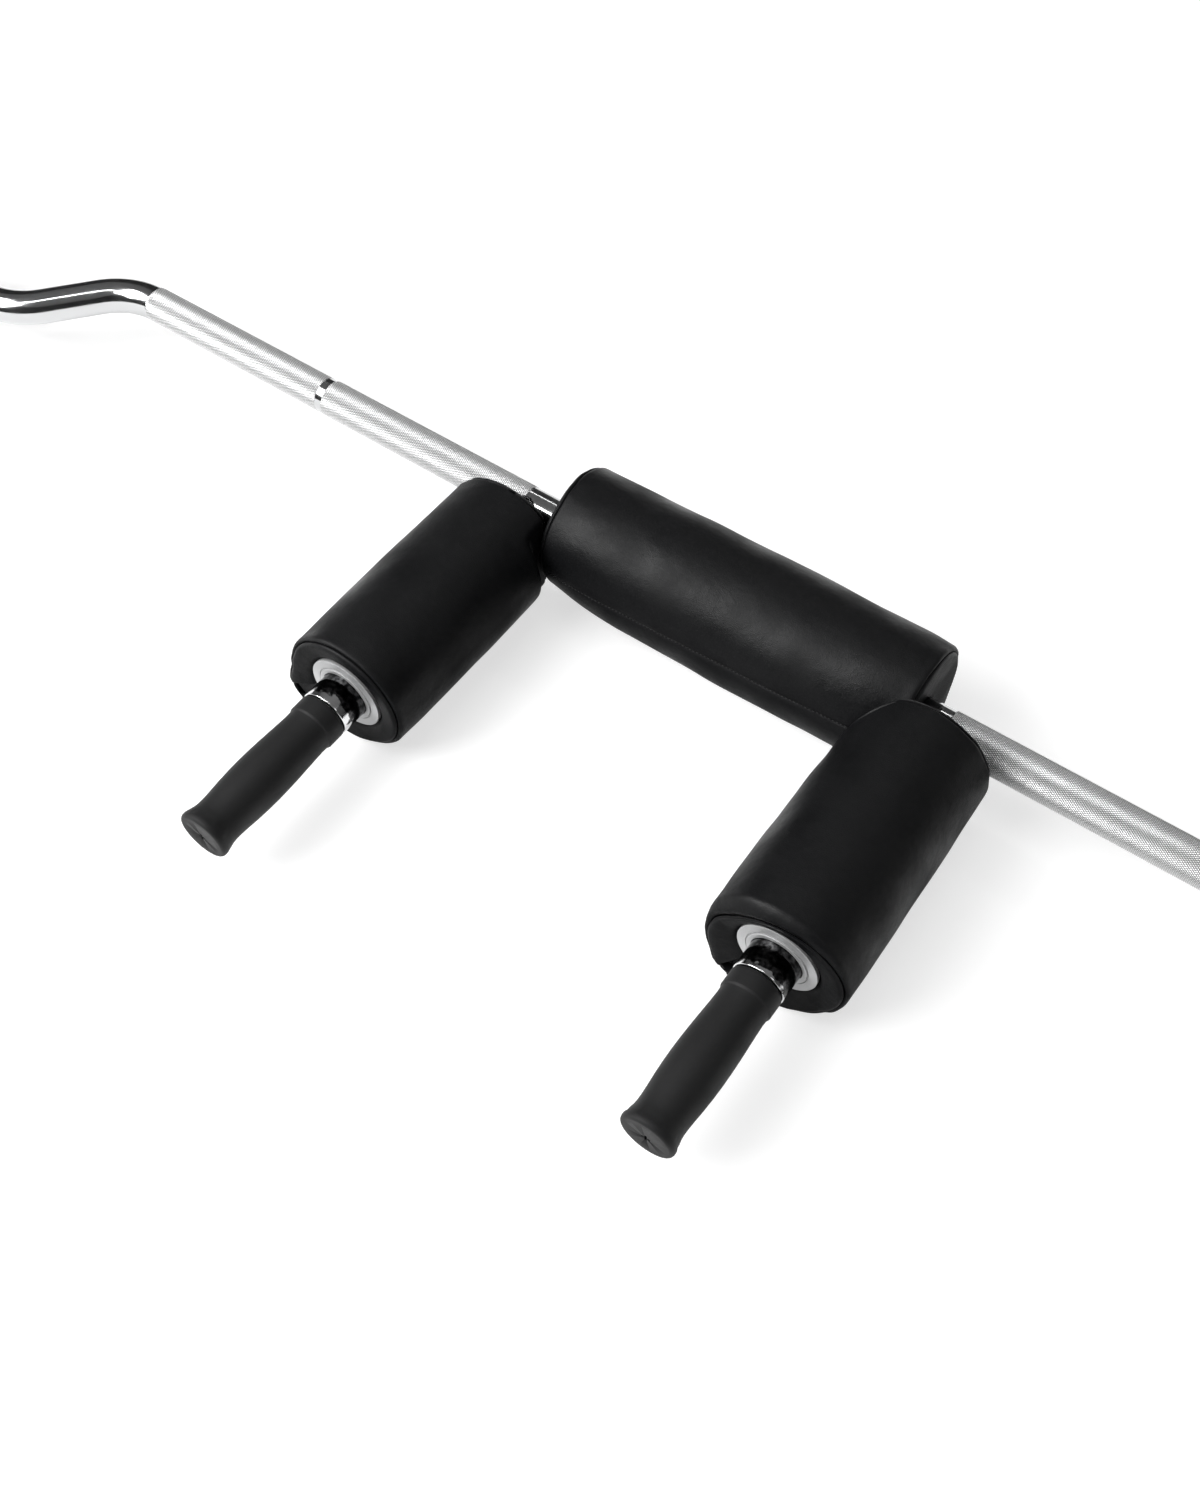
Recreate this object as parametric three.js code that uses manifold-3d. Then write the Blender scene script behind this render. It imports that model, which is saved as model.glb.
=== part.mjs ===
// Safety squat bar: a chromed steel bar with two forward handles, a neck pad, two shoulder pads
// and a spinning plate sleeve at each end.
// Millimetres, +Z up. X runs along the bar, the handles point to -Y, and the origin lies on the
// floor under the middle of the shaft's axis.

import * as THREE from 'three';
import { mergeVertices } from 'three/addons/utils/BufferGeometryUtils.js';
import Module from 'manifold-3d';

const wasm = await Module();
wasm.setup();

const degrees = THREE.MathUtils.degToRad;

// Clearances and counts of facets
const seatGap = 0.3;
const cutOverrun = 5;
const shaftSides = 20;
const turnedSides = 24;
const padSides = 32;

// Shaft: one bar of chromed steel, knurled in bands, bent forward at both ends
const knurlRadius = 15;
const outerKnurlRadius = 14.8;
const smoothRadius = 14.6;
const knurlInset = 3;
const outerKnurlLength = 193;
const ringMarkWidth = 7;
const ringMarkDepth = 0.5;
const bendStart = 580;
const bendRadius = 61;
const bendAngle = degrees(50);
const forwardOffset = 80;
const bendSteps = 18;
const bendOverlap = 3;
const sleeveApproach = 30;
const shoulderLength = 8;

// Spindles at the shaft's ends, which carry the sleeves
const spindleRadius = 12.5;
const spindleEndMargin = 6;
const spindleChamfer = 1;
const grooveDepth = 1.4;

// Handles: a tube welded across the shaft, a turned spigot in its end and a rubber grip
const handleTubeRadius = 19;
const handleTubeWall = 3;
const handleTubeStub = 22.5;
const handleTubeStart = 3;
const handleTubeChamfer = 0.8;
const spigotRadius = 11;
const spigotBoreRadius = 8;
const spigotSeatLength = 38;
const gripLength = 124;
const gripEndWall = 6;
const gripCollarRadius = 18.8;
const gripCollarLength = 14.5;
const gripWaistRadius = 17.6;
const gripBellyRadius = 19.3;
const gripNeckRadius = 17.5;
const gripFlareRadius = 19.8;
const gripFaceRadius = 17.6;
const gripEdge = 1.2;
const ventLength = 6;
const ventWidth = 1.6;

// Pad stops: a disc on each handle tube that keeps the shoulder pad from sliding off
const stopRadius = 30;
const stopThickness = 3;
const stopFace = 221;
const stopEdge = 0.5;

// Pads: foam split along its length, in a leatherette cover that closes on hook and loop
const padRadius = 51.5;
const padCrown = 0.8;
const padRim = 6;
const padCornerStand = 10.5;
const coverWall = 2;
const coverSeamWidth = 1.2;
const coverSeamDepth = 1;
const coverSlot = 5;
const coverSlit = 0.8;
const coverSlitPlace = 5;
const flapThickness = 1.5;
const flapWidth = 28;
const stripThickness = 1.2;
const stripInset = 6;
const stripEdge = 2;
const foamSlit = 1.5;
const footDepth = 0.5;
const neckPadLength = 301;
const neckPadPlay = 20.7;
const neckPadSink = 1;
const neckCorner = degrees(-142);
const shoulderPadClearance = 19;
const shoulderPadBackSink = 1.5;
const leftCorner = degrees(-150);
const rightCorner = degrees(-129);
const shoulderRimStand = 1.5;

// Sleeves: tube, collar, two bronze bushes and an end plug that spin on the spindle,
// kept on it by a thrust washer and a snap ring
const sleeveRadius = 25;
const sleeveWall = 4;
const sleeveLength = 379;
const sleeveChamfer = 1.5;
const collarRadius = 39;
const collarWidth = 30;
const collarEdge = 2.5;
const bushLength = 40;
const bushFlangeInset = 1.5;
const bushFlangeThickness = 3;
const outerBushInset = 47;
const washerClearance = 2;
const washerThickness = 2.5;
const snapRingWidth = 4.1;
const snapRingThickness = 1.8;
const snapRingOpening = degrees(40);
const plugFlangeThickness = 3;
const plugSpigotLength = 12;
const plugEdge = 1;
const plugDimpleRadius = 3;
const plugDimpleDepth = 1.5;

// Places that follow from the sizes above
const axisHeight = padRadius - footDepth;
const bendRun = 2 * bendRadius * Math.sin(bendAngle);
const bendRise = 2 * bendRadius * (1 - Math.cos(bendAngle));
const slopeLength = (forwardOffset - bendRise) / Math.sin(bendAngle);
const bendEnd = bendStart + bendRun + slopeLength * Math.cos(bendAngle);
const shoulderStart = bendEnd + sleeveApproach;
const shoulderFace = shoulderStart + shoulderLength;
const sleeveStart = shoulderFace + bushFlangeThickness + 2 * seatGap;
const sleeveEnd = sleeveStart + sleeveLength;
const outerBushEnd = sleeveEnd - outerBushInset;
const washerStart = outerBushEnd + seatGap;
const snapRingStart = washerStart + washerThickness + seatGap;
const grooveStart = snapRingStart - seatGap;
const grooveEnd = snapRingStart + snapRingThickness + seatGap;
const spindleEnd = grooveEnd + spindleEndMargin;
const sleeveBoreRadius = sleeveRadius - sleeveWall;
const bushBoreRadius = spindleRadius + seatGap;
const bushFlangeRadius = sleeveRadius - bushFlangeInset;
const washerRadius = sleeveBoreRadius - washerClearance;
const handlePlace = (neckPadLength + neckPadPlay + seatGap) / 2 + handleTubeRadius;
const knurlStart = handlePlace + knurlInset;
const ringMark = bendStart - outerKnurlLength;
const handleTubeBore = handleTubeRadius - handleTubeWall;
const handleTubeEnd = stopFace + handleTubeStub;
const gripStart = handleTubeEnd + seatGap;
const gripEnd = gripStart + gripLength;
const spigotEnd = gripEnd - gripEndWall - seatGap;
const shoulderPadFront = stopFace + shoulderRimStand;
const shoulderPadBack = knurlRadius + shoulderPadClearance;
const padCornerReach = padRadius + padCornerStand;
const neckPadEnd = handlePlace - handleTubeRadius - seatGap;
const neckPadStart = neckPadEnd - neckPadLength;

const chrome = new THREE.MeshStandardMaterial({ color: 0xc9ccce, roughness: 0.12, metalness: 1 });
const knurledChrome = new THREE.MeshStandardMaterial({ color: 0xb4b7ba, roughness: 0.35, metalness: 1 });
const turnedSteel = new THREE.MeshStandardMaterial({ color: 0xc4c5c6, roughness: 0.28, metalness: 1 });
const bronze = new THREE.MeshStandardMaterial({ color: 0xa9793d, roughness: 0.38, metalness: 1 });
const springSteel = new THREE.MeshStandardMaterial({ color: 0x2a2a2c, roughness: 0.45, metalness: 0.8 });
const leatherette = new THREE.MeshStandardMaterial({ color: 0x1d1e20, roughness: 0.5, metalness: 0 });
const foam = new THREE.MeshStandardMaterial({ color: 0x4a4a4c, roughness: 0.95, metalness: 0 });
const hookTape = new THREE.MeshStandardMaterial({ color: 0x151515, roughness: 0.9, metalness: 0 });
const rubber = new THREE.MeshStandardMaterial({ color: 0x232325, roughness: 0.75, metalness: 0 });

// A closed solid from a three.js geometry: vertices merged, empty triangles dropped, faces outward
function solidOf(geometry) {
  const bare = new THREE.BufferGeometry();
  bare.setAttribute('position', geometry.getAttribute('position'));
  bare.setIndex(geometry.index);
  const merged = mergeVertices(bare);
  const places = merged.getAttribute('position');
  const corners = merged.index.array;
  const kept = [];
  for (let i = 0; i < corners.length; i += 3) {
    const [a, b, c] = corners.slice(i, i + 3);
    if (a !== b && b !== c && c !== a) kept.push(a, b, c);
  }
  if (signedVolume(places, kept) < 0) kept.reverse();
  return new wasm.Manifold(new wasm.Mesh({
    numProp: 3,
    vertProperties: new Float32Array(places.array),
    triVerts: new Uint32Array(kept),
  }));
}

function signedVolume(places, corners) {
  const [a, b, c] = [new THREE.Vector3(), new THREE.Vector3(), new THREE.Vector3()];
  let total = 0;
  for (let i = 0; i < corners.length; i += 3) {
    a.fromBufferAttribute(places, corners[i]);
    b.fromBufferAttribute(places, corners[i + 1]);
    c.fromBufferAttribute(places, corners[i + 2]);
    total += a.dot(b.cross(c));
  }
  return total;
}

function geometryOf(solid) {
  const { vertProperties, triVerts } = solid.getMesh();
  const geometry = new THREE.BufferGeometry();
  geometry.setAttribute('position', new THREE.BufferAttribute(vertProperties, 3));
  geometry.setIndex(new THREE.BufferAttribute(triVerts, 1));
  geometry.computeVertexNormals();
  return geometry;
}

// A turned piece: its outline is a list of [place along the axis, radius], and its axis is Y
function turned(outline, sides = turnedSides, startAngle = 0) {
  const points = outline.map(([along, radius]) => new THREE.Vector2(radius, along));
  return new THREE.LatheGeometry(points, sides, startAngle);
}

// A ring's outline closes on itself, so its first point comes again at the end
function turnedRing(outline, sides = turnedSides, startAngle = 0) {
  return turned([...outline, outline[0]], sides, startAngle);
}

function addMesh(parent, name, solid, material) {
  const mesh = new THREE.Mesh(geometryOf(solid), material);
  mesh.name = name;
  parent.add(mesh);
}

// The centre line of one bent end: forward round the first bend, along the slope, back round the
// second and straight on to the sleeve's shoulder. A short lead at each end lies inside its neighbour
class BendLine extends THREE.Curve {
  constructor(side) {
    super();
    this.side = side;
    this.arcLength = bendRadius * bendAngle;
    this.totalLength = 2 * (bendOverlap + this.arcLength) + slopeLength + sleeveApproach;
  }

  getPoint(share) {
    let left = share * this.totalLength - bendOverlap;
    const point = new THREE.Vector3(bendStart + Math.min(left, 0), 0, 0);
    const firstTurn = THREE.MathUtils.clamp(left / this.arcLength, 0, 1) * bendAngle;
    point.x += bendRadius * Math.sin(firstTurn);
    point.y -= bendRadius * (1 - Math.cos(firstTurn));
    left -= this.arcLength;
    const slope = THREE.MathUtils.clamp(left, 0, slopeLength);
    point.x += slope * Math.cos(bendAngle);
    point.y -= slope * Math.sin(bendAngle);
    left -= slopeLength;
    const secondTurn = THREE.MathUtils.clamp(left / this.arcLength, 0, 1) * bendAngle;
    point.x += bendRadius * (Math.sin(bendAngle) - Math.sin(bendAngle - secondTurn));
    point.y -= bendRadius * (Math.cos(bendAngle - secondTurn) - Math.cos(bendAngle));
    left -= this.arcLength;
    point.x += Math.max(left, 0);
    point.x *= this.side;
    return point;
  }
}

function roundSection(radius, sides) {
  const points = [];
  for (let i = 0; i < sides; i += 1) {
    const angle = (i / sides) * 2 * Math.PI;
    points.push(new THREE.Vector2(radius * Math.cos(angle), radius * Math.sin(angle)));
  }
  return new THREE.Shape(points);
}

function bentEnd(side) {
  const geometry = new THREE.ExtrudeGeometry(roundSection(smoothRadius, shaftSides), {
    steps: bendSteps,
    extrudePath: new BendLine(side),
  });
  return solidOf(geometry);
}

// Half of the straight shaft, from the middle out: smooth, inner knurl, ring mark, outer knurl
function straightHalf() {
  const markStart = ringMark - ringMarkWidth / 2;
  const markEnd = ringMark + ringMarkWidth / 2;
  const markRadius = knurlRadius - ringMarkDepth;
  const knurlStep = knurlRadius - smoothRadius;
  return [
    [knurlStart, smoothRadius],
    [knurlStart + knurlStep, knurlRadius],
    [markStart, knurlRadius],
    [markStart, markRadius],
    [markEnd, markRadius],
    [markEnd, outerKnurlRadius],
    [bendStart, outerKnurlRadius],
    [bendStart, 0],
  ];
}

// The spindle starts with the shoulder that the inner bush bears on
function spindleOutline() {
  return [
    [shoulderStart, 0],
    [shoulderStart, knurlRadius],
    [shoulderFace, knurlRadius],
    [shoulderFace, spindleRadius],
    [grooveStart, spindleRadius],
    [grooveStart, spindleRadius - grooveDepth],
    [grooveEnd, spindleRadius - grooveDepth],
    [grooveEnd, spindleRadius],
    [spindleEnd - spindleChamfer, spindleRadius],
    [spindleEnd, spindleRadius - spindleChamfer],
    [spindleEnd, 0],
  ];
}

// Lays a piece turned about Y along X, towards the given side
function alongShaft(geometry, side = 1) {
  return geometry.rotateZ(-side * Math.PI / 2);
}

function makeShaft() {
  const half = straightHalf();
  const mirrored = half.map(([along, radius]) => [-along, radius]).reverse();
  let shaft = solidOf(alongShaft(turned([...mirrored, ...half], shaftSides)));
  for (const side of [-1, 1]) {
    const spindle = alongShaft(turned(spindleOutline(), shaftSides), side);
    spindle.translate(0, -forwardOffset, 0);
    shaft = shaft.add(bentEnd(side)).add(solidOf(spindle));
  }
  return shaft;
}

// The handle tube is cut to sit round the shaft, where it is welded
function makeHandleTube() {
  const tube = turnedRing([
    [-handleTubeEnd, handleTubeBore],
    [-handleTubeEnd, handleTubeRadius - handleTubeChamfer],
    [-handleTubeEnd + handleTubeChamfer, handleTubeRadius],
    [-handleTubeStart, handleTubeRadius],
    [-handleTubeStart, handleTubeBore],
  ]);
  const reach = handleTubeRadius + cutOverrun;
  const saddle = turned([
    [-reach, 0],
    [-reach, knurlRadius + seatGap],
    [reach, knurlRadius + seatGap],
    [reach, 0],
  ], shaftSides);
  return solidOf(tube).subtract(solidOf(alongShaft(saddle)));
}

function makePadStop() {
  const bore = handleTubeRadius + seatGap;
  const back = stopFace - stopThickness;
  return solidOf(turnedRing([
    [-stopFace, bore],
    [-stopFace, stopRadius - stopEdge],
    [-stopFace + stopEdge, stopRadius],
    [-back - stopEdge, stopRadius],
    [-back, stopRadius - stopEdge],
    [-back, bore],
  ]));
}

// The spigot's wide end is pressed into the tube, and its narrow end carries the grip
function makeSpigot() {
  const seatStart = handleTubeEnd - spigotSeatLength;
  return solidOf(turnedRing([
    [-spigotEnd, spigotBoreRadius],
    [-spigotEnd, spigotRadius],
    [-handleTubeEnd, spigotRadius],
    [-handleTubeEnd, handleTubeBore - seatGap],
    [-seatStart, handleTubeBore - seatGap],
    [-seatStart, spigotBoreRadius],
  ]));
}

// The moulded grip: raised collar, waist, belly, neck and a flared end with a cross-shaped vent
function makeGrip() {
  const bore = spigotRadius + seatGap;
  const bodyStart = gripStart + gripCollarLength;
  const bodyLength = gripEnd - bodyStart;
  const bodyShares = [
    [0.02, gripWaistRadius],
    [0.18, THREE.MathUtils.lerp(gripWaistRadius, gripBellyRadius, 0.45)],
    [0.36, THREE.MathUtils.lerp(gripWaistRadius, gripBellyRadius, 0.92)],
    [0.5, gripBellyRadius],
    [0.65, THREE.MathUtils.lerp(gripNeckRadius, gripBellyRadius, 0.75)],
    [0.78, THREE.MathUtils.lerp(gripNeckRadius, gripBellyRadius, 0.25)],
    [0.86, gripNeckRadius],
    [0.9, THREE.MathUtils.lerp(gripNeckRadius, gripFlareRadius, 0.2)],
    [0.945, THREE.MathUtils.lerp(gripNeckRadius, gripFlareRadius, 0.8)],
    [0.97, gripFlareRadius],
    [0.99, THREE.MathUtils.lerp(gripFaceRadius, gripFlareRadius, 0.7)],
    [1, gripFaceRadius],
  ];
  const outline = [
    [-gripEnd + gripEndWall, 0],
    [-gripEnd + gripEndWall, bore],
    [-gripStart, bore],
    [-gripStart, gripCollarRadius - gripEdge],
    [-gripStart - gripEdge, gripCollarRadius],
    [-bodyStart, gripCollarRadius],
    ...bodyShares.map(([share, radius]) => [-bodyStart - share * bodyLength, radius]),
    [-gripEnd, 0],
  ];
  let grip = solidOf(turned(outline));
  const depth = gripEndWall + 2 * cutOverrun;
  for (const [width, height] of [[ventLength, ventWidth], [ventWidth, ventLength]]) {
    const slot = new THREE.BoxGeometry(width, depth, height);
    slot.translate(0, -gripEnd + gripEndWall / 2, 0);
    grip = grip.subtract(solidOf(slot));
  }
  return grip;
}

// How far a pad's round section reaches at an angle from its corner, as a share of its radius:
// two flats leave the circle and meet at the corner
const cornerSpan = Math.acos(padRadius / padCornerReach);
function cornerShare(angleFromCorner) {
  const turn = Math.abs(Math.atan2(Math.sin(angleFromCorner), Math.cos(angleFromCorner)));
  return turn < cornerSpan ? 1 / Math.cos(cornerSpan - turn) : 1;
}

// A form turned about Y whose round section is drawn out to the corner at the given angle
function padForm(outline, corner, lay = (geometry) => geometry) {
  const geometry = turned(outline, padSides, Math.PI / 2 - corner);
  const places = geometry.getAttribute('position');
  for (let i = 0; i < places.count; i += 1) {
    const angle = Math.atan2(places.getZ(i), places.getX(i));
    const share = cornerShare(angle - corner);
    places.setX(i, places.getX(i) * share);
    places.setZ(i, places.getZ(i) * share);
  }
  return solidOf(lay(geometry));
}

// A rounded rim from just past the seam out to the side of the pad, as a quarter of an oval.
// inward is +1 at the low end of the axis and -1 at the high end
function rimPoints(place, inward, depth, rise) {
  const turnShares = [0.3, 0.65, 1];
  return turnShares.map((share) => [
    place + inward * depth * (1 - Math.cos(share * Math.PI / 2)),
    padRadius - padRim + rise * Math.sin(share * Math.PI / 2),
  ]);
}

// One end of a cover from the axis out: sunk panel, stitched seam and rounded rim
function coverEnd(place, inward, sink, sinkRadius) {
  const seam = padRadius - padRim;
  return [
    [place + inward * sink, 0],
    [place + inward * sink, sinkRadius],
    [place + inward * coverSeamDepth / 2, seam - coverSeamWidth],
    [place + inward * coverSeamDepth, seam - coverSeamWidth / 2],
    [place, seam],
    ...rimPoints(place, inward, padRim, padRim - padCrown),
  ];
}

function coverOutline(pad) {
  const crownShares = [[0.2, 0.6], [0.5, 1], [0.8, 0.6]];
  const length = pad.end - pad.start;
  const low = coverEnd(pad.start, 1, pad.startSink, pad.startSinkRadius);
  const high = coverEnd(pad.end, -1, pad.endSink, pad.endSinkRadius).reverse();
  const crown = crownShares.map(([share, rise]) => [
    pad.start + share * length,
    padRadius - padCrown * (1 - rise),
  ]);
  return [...low, ...crown, ...high];
}

// The hollow inside a cover, which keeps the cover's wall all round; inset shrinks it further
const cavityRadius = padRadius - padCrown - coverWall;
function cavityOutline(pad, inset = 0) {
  const shoulder = padRadius - padRim - coverSeamWidth - inset;
  const startDepth = Math.max(pad.startSink, coverSeamDepth) + coverWall + inset;
  const endDepth = Math.max(pad.endSink, coverSeamDepth) + coverWall + inset;
  return [
    [pad.start + startDepth, 0],
    [pad.start + startDepth, shoulder],
    [pad.start + startDepth + padRim, cavityRadius - inset],
    [pad.end - endDepth - padRim, cavityRadius - inset],
    [pad.end - endDepth, shoulder],
    [pad.end - endDepth, 0],
  ];
}

// A block set in a pad's section: radial from near to far along the angle, sideways from left to
// right of it, and between two places on the axis
function sectionBlock(angle, near, far, left, right, low, high) {
  const block = new THREE.BoxGeometry(far - near, high - low, right - left);
  block.translate((near + far) / 2, (low + high) / 2, (left + right) / 2);
  block.rotateY(-angle);
  return solidOf(block);
}

function boreThrough(radius, pad) {
  const low = pad.start - cutOverrun;
  const high = pad.end + cutOverrun;
  return solidOf(turned([[low, 0], [low, radius], [high, radius], [high, 0]]));
}

// Depths of what lies under the closing edge, measured out from the pad's axis
const hookStripTop = cavityRadius - seatGap;
const loopStripTop = hookStripTop - stripThickness - seatGap;
const flapTop = loopStripTop - stripThickness - seatGap;
const foamFlat = flapTop - flapThickness - seatGap;
const flapReach = Math.sqrt(padCornerReach ** 2 - padRadius ** 2);

// The cover's closing edge lies on the flat beyond the corner, under which a flap carries the
// loop tape that the hook tape on the cover's inside grips
function makeCover(pad, intruder) {
  const flat = pad.corner + cornerSpan;
  const slitPlace = -flapReach + coverSlitPlace;
  let form = padForm(coverOutline(pad), pad.corner);
  let cavity = padForm(cavityOutline(pad), pad.corner);
  if (intruder) {
    form = form.subtract(intruder(seatGap));
    cavity = cavity.subtract(intruder(seatGap + coverWall));
  }
  const slit = sectionBlock(
    flat, cavityRadius - cutOverrun, padRadius + cutOverrun,
    slitPlace, slitPlace + coverSlit, pad.start - cutOverrun, pad.end + cutOverrun,
  );
  const depth = padRim + coverWall;
  const slotReach = padCornerReach + cutOverrun;
  const lowSlot = sectionBlock(
    pad.corner, 0, slotReach, 0, coverSlot, pad.start - cutOverrun, pad.start + depth,
  );
  const highSlot = sectionBlock(
    pad.corner, 0, slotReach, 0, coverSlot, pad.end - depth, pad.end + cutOverrun,
  );
  let cover = form.subtract(cavity).subtract(slit).subtract(lowSlot).subtract(highSlot);
  const flap = sectionBlock(
    flat, flapTop - flapThickness, flapTop, -flapReach - coverWall / 2, flapWidth - flapReach,
    pad.flapStart, pad.flapEnd,
  );
  cover = cover.add(flap).subtract(boreThrough(pad.bore, pad));
  return cover.subtract(floorBlock(pad));
}

// Everything below the floor, in the pad's own frame
function floorBlock(pad) {
  const reach = padCornerReach + cutOverrun;
  return sectionBlock(
    -Math.PI / 2, axisHeight, axisHeight + reach, -reach, reach,
    pad.start - cutOverrun, pad.end + cutOverrun,
  );
}

// The foam is a thick split tube with a flat under the flap
function makeFoam(pad, intruder) {
  const flat = pad.corner + cornerSpan;
  const outline = cavityOutline(pad, seatGap).slice(1, -1);
  const [low, high] = [outline[0][0], outline[outline.length - 1][0]];
  const ring = turnedRing(
    [[low, pad.bore], ...outline, [high, pad.bore]], padSides, Math.PI / 2 - pad.corner,
  );
  let core = solidOf(ring);
  core = core.subtract(sectionBlock(
    flat, foamFlat, padCornerReach, -padRadius, padRadius, low - cutOverrun, high + cutOverrun,
  ));
  core = core.subtract(sectionBlock(
    pad.corner, 0, padCornerReach, -foamSlit / 2, foamSlit / 2, low - cutOverrun, high + cutOverrun,
  ));
  return intruder ? core.subtract(intruder(coverWall + 2 * seatGap)) : core;
}

function makeStrip(pad, top) {
  const flat = pad.corner + cornerSpan;
  const place = -flapReach + stripInset;
  return sectionBlock(
    flat, top - stripThickness, top, place, flapWidth - flapReach - stripEdge, pad.flapStart, pad.flapEnd,
  );
}

function padOf(start, end, values) {
  const pad = { start, end, ...values };
  const depth = padRim + coverWall + coverSeamDepth;
  pad.flapStart = start + Math.max(depth, pad.startSink + coverWall + padRim);
  pad.flapEnd = end - Math.max(depth, pad.endSink + coverWall + padRim) - (pad.backReserve ?? 0);
  return pad;
}

const plainSinkRadius = padRadius - padRim - 2 * coverSeamWidth;
const neckPad = padOf(neckPadStart, neckPadEnd, {
  corner: neckCorner,
  bore: smoothRadius + seatGap,
  startSink: neckPadSink,
  startSinkRadius: plainSinkRadius,
  endSink: neckPadSink,
  endSinkRadius: plainSinkRadius,
});

// The neck pad's form, grown by a gap, that presses a hollow into both shoulder pads
function neckIntruder(place) {
  return (growth) => {
    const [low, high] = [neckPadStart - growth, neckPadEnd + growth];
    const rim = padRim + growth;
    const seam = padRadius - padRim;
    const shape = padForm([
      [low, 0],
      [low, seam],
      ...rimPoints(low, 1, rim, rim),
      ...rimPoints(high, -1, rim, rim).reverse(),
      [high, seam],
      [high, 0],
    ], neckCorner, alongShaft);
    return shape.translate([-place, 0, 0]);
  };
}

function shoulderPad(corner) {
  return padOf(-shoulderPadFront, -shoulderPadBack, {
    corner,
    bore: handleTubeRadius + seatGap,
    startSink: shoulderRimStand + stopThickness + seatGap,
    startSinkRadius: stopRadius + stopEdge,
    endSink: shoulderPadBackSink,
    endSinkRadius: plainSinkRadius,
    backReserve: padRadius - shoulderPadBack,
  });
}

function addPad(parent, name, pad, intruder) {
  addMesh(parent, `${name}_cover`, makeCover(pad, intruder), leatherette);
  addMesh(parent, `${name}_foam`, makeFoam(pad, intruder), foam);
  addMesh(parent, `${name}_hook_strip`, makeStrip(pad, hookStripTop), hookTape);
  addMesh(parent, `${name}_loop_strip`, makeStrip(pad, loopStripTop), hookTape);
}

function makeSleeveTube() {
  return solidOf(turnedRing([
    [sleeveStart, sleeveBoreRadius],
    [sleeveStart, sleeveRadius],
    [sleeveEnd - sleeveChamfer, sleeveRadius],
    [sleeveEnd, sleeveRadius - sleeveChamfer],
    [sleeveEnd, sleeveBoreRadius],
  ]));
}

function makeCollar() {
  const bore = sleeveRadius + seatGap;
  return solidOf(turnedRing([
    [sleeveStart, bore],
    [sleeveStart, collarRadius - collarEdge],
    [sleeveStart + collarEdge, collarRadius],
    [sleeveStart + collarWidth - collarEdge, collarRadius],
    [sleeveStart + collarWidth, collarRadius - collarEdge],
    [sleeveStart + collarWidth, bore],
  ]));
}

// The inner bush has a flange between the shaft's shoulder and the end of the sleeve tube
function makeInnerBush() {
  const flangeStart = shoulderFace + seatGap;
  const flangeEnd = flangeStart + bushFlangeThickness;
  return solidOf(turnedRing([
    [flangeStart, bushBoreRadius],
    [flangeStart, bushFlangeRadius],
    [flangeEnd, bushFlangeRadius],
    [flangeEnd, sleeveBoreRadius - seatGap],
    [flangeEnd + bushLength, sleeveBoreRadius - seatGap],
    [flangeEnd + bushLength, bushBoreRadius],
  ]));
}

function makePlainRing(start, end, boreRadius, radius) {
  return solidOf(turnedRing([[start, boreRadius], [start, radius], [end, radius], [end, boreRadius]]));
}

// A split ring that springs into the spindle's groove, lying in the plane square to the axis
function makeSnapRing() {
  const inner = spindleRadius - grooveDepth + seatGap;
  const shape = new THREE.Shape();
  shape.absarc(0, 0, inner + snapRingWidth, snapRingOpening / 2, -snapRingOpening / 2, false);
  shape.absarc(0, 0, inner, -snapRingOpening / 2, snapRingOpening / 2, true);
  const ring = new THREE.ExtrudeGeometry(shape, {
    depth: snapRingThickness,
    bevelEnabled: false,
    curveSegments: turnedSides / 2,
  });
  ring.rotateX(-Math.PI / 2).translate(0, snapRingStart, 0);
  return solidOf(ring);
}

function makeEndPlug() {
  const flangeStart = sleeveEnd + seatGap;
  const flangeEnd = flangeStart + plugFlangeThickness;
  return solidOf(turned([
    [flangeStart - plugSpigotLength, 0],
    [flangeStart - plugSpigotLength, sleeveBoreRadius - seatGap],
    [flangeStart, sleeveBoreRadius - seatGap],
    [flangeStart, sleeveRadius],
    [flangeEnd - plugEdge, sleeveRadius],
    [flangeEnd, sleeveRadius - plugEdge],
    [flangeEnd, plugDimpleRadius],
    [flangeEnd - plugDimpleDepth, 0],
  ]));
}

const bar = new THREE.Group();
bar.position.set(0, 0, axisHeight);

addMesh(bar, 'shaft', makeShaft(), knurledChrome);

const neckGroup = new THREE.Group();
neckGroup.rotation.z = -Math.PI / 2;
bar.add(neckGroup);
addPad(neckGroup, 'neck_pad', neckPad);

const handles = [
  { name: 'left', place: -handlePlace, corner: leftCorner },
  { name: 'right', place: handlePlace, corner: rightCorner },
];
for (const { name, place, corner } of handles) {
  const handle = new THREE.Group();
  handle.position.x = place;
  bar.add(handle);
  addMesh(handle, `${name}_handle_tube`, makeHandleTube(), chrome);
  addMesh(handle, `${name}_pad_stop`, makePadStop(), turnedSteel);
  addMesh(handle, `${name}_handle_spigot`, makeSpigot(), turnedSteel);
  addMesh(handle, `${name}_grip`, makeGrip(), rubber);
  addPad(handle, `${name}_shoulder_pad`, shoulderPad(corner), neckIntruder(place));
}

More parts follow.
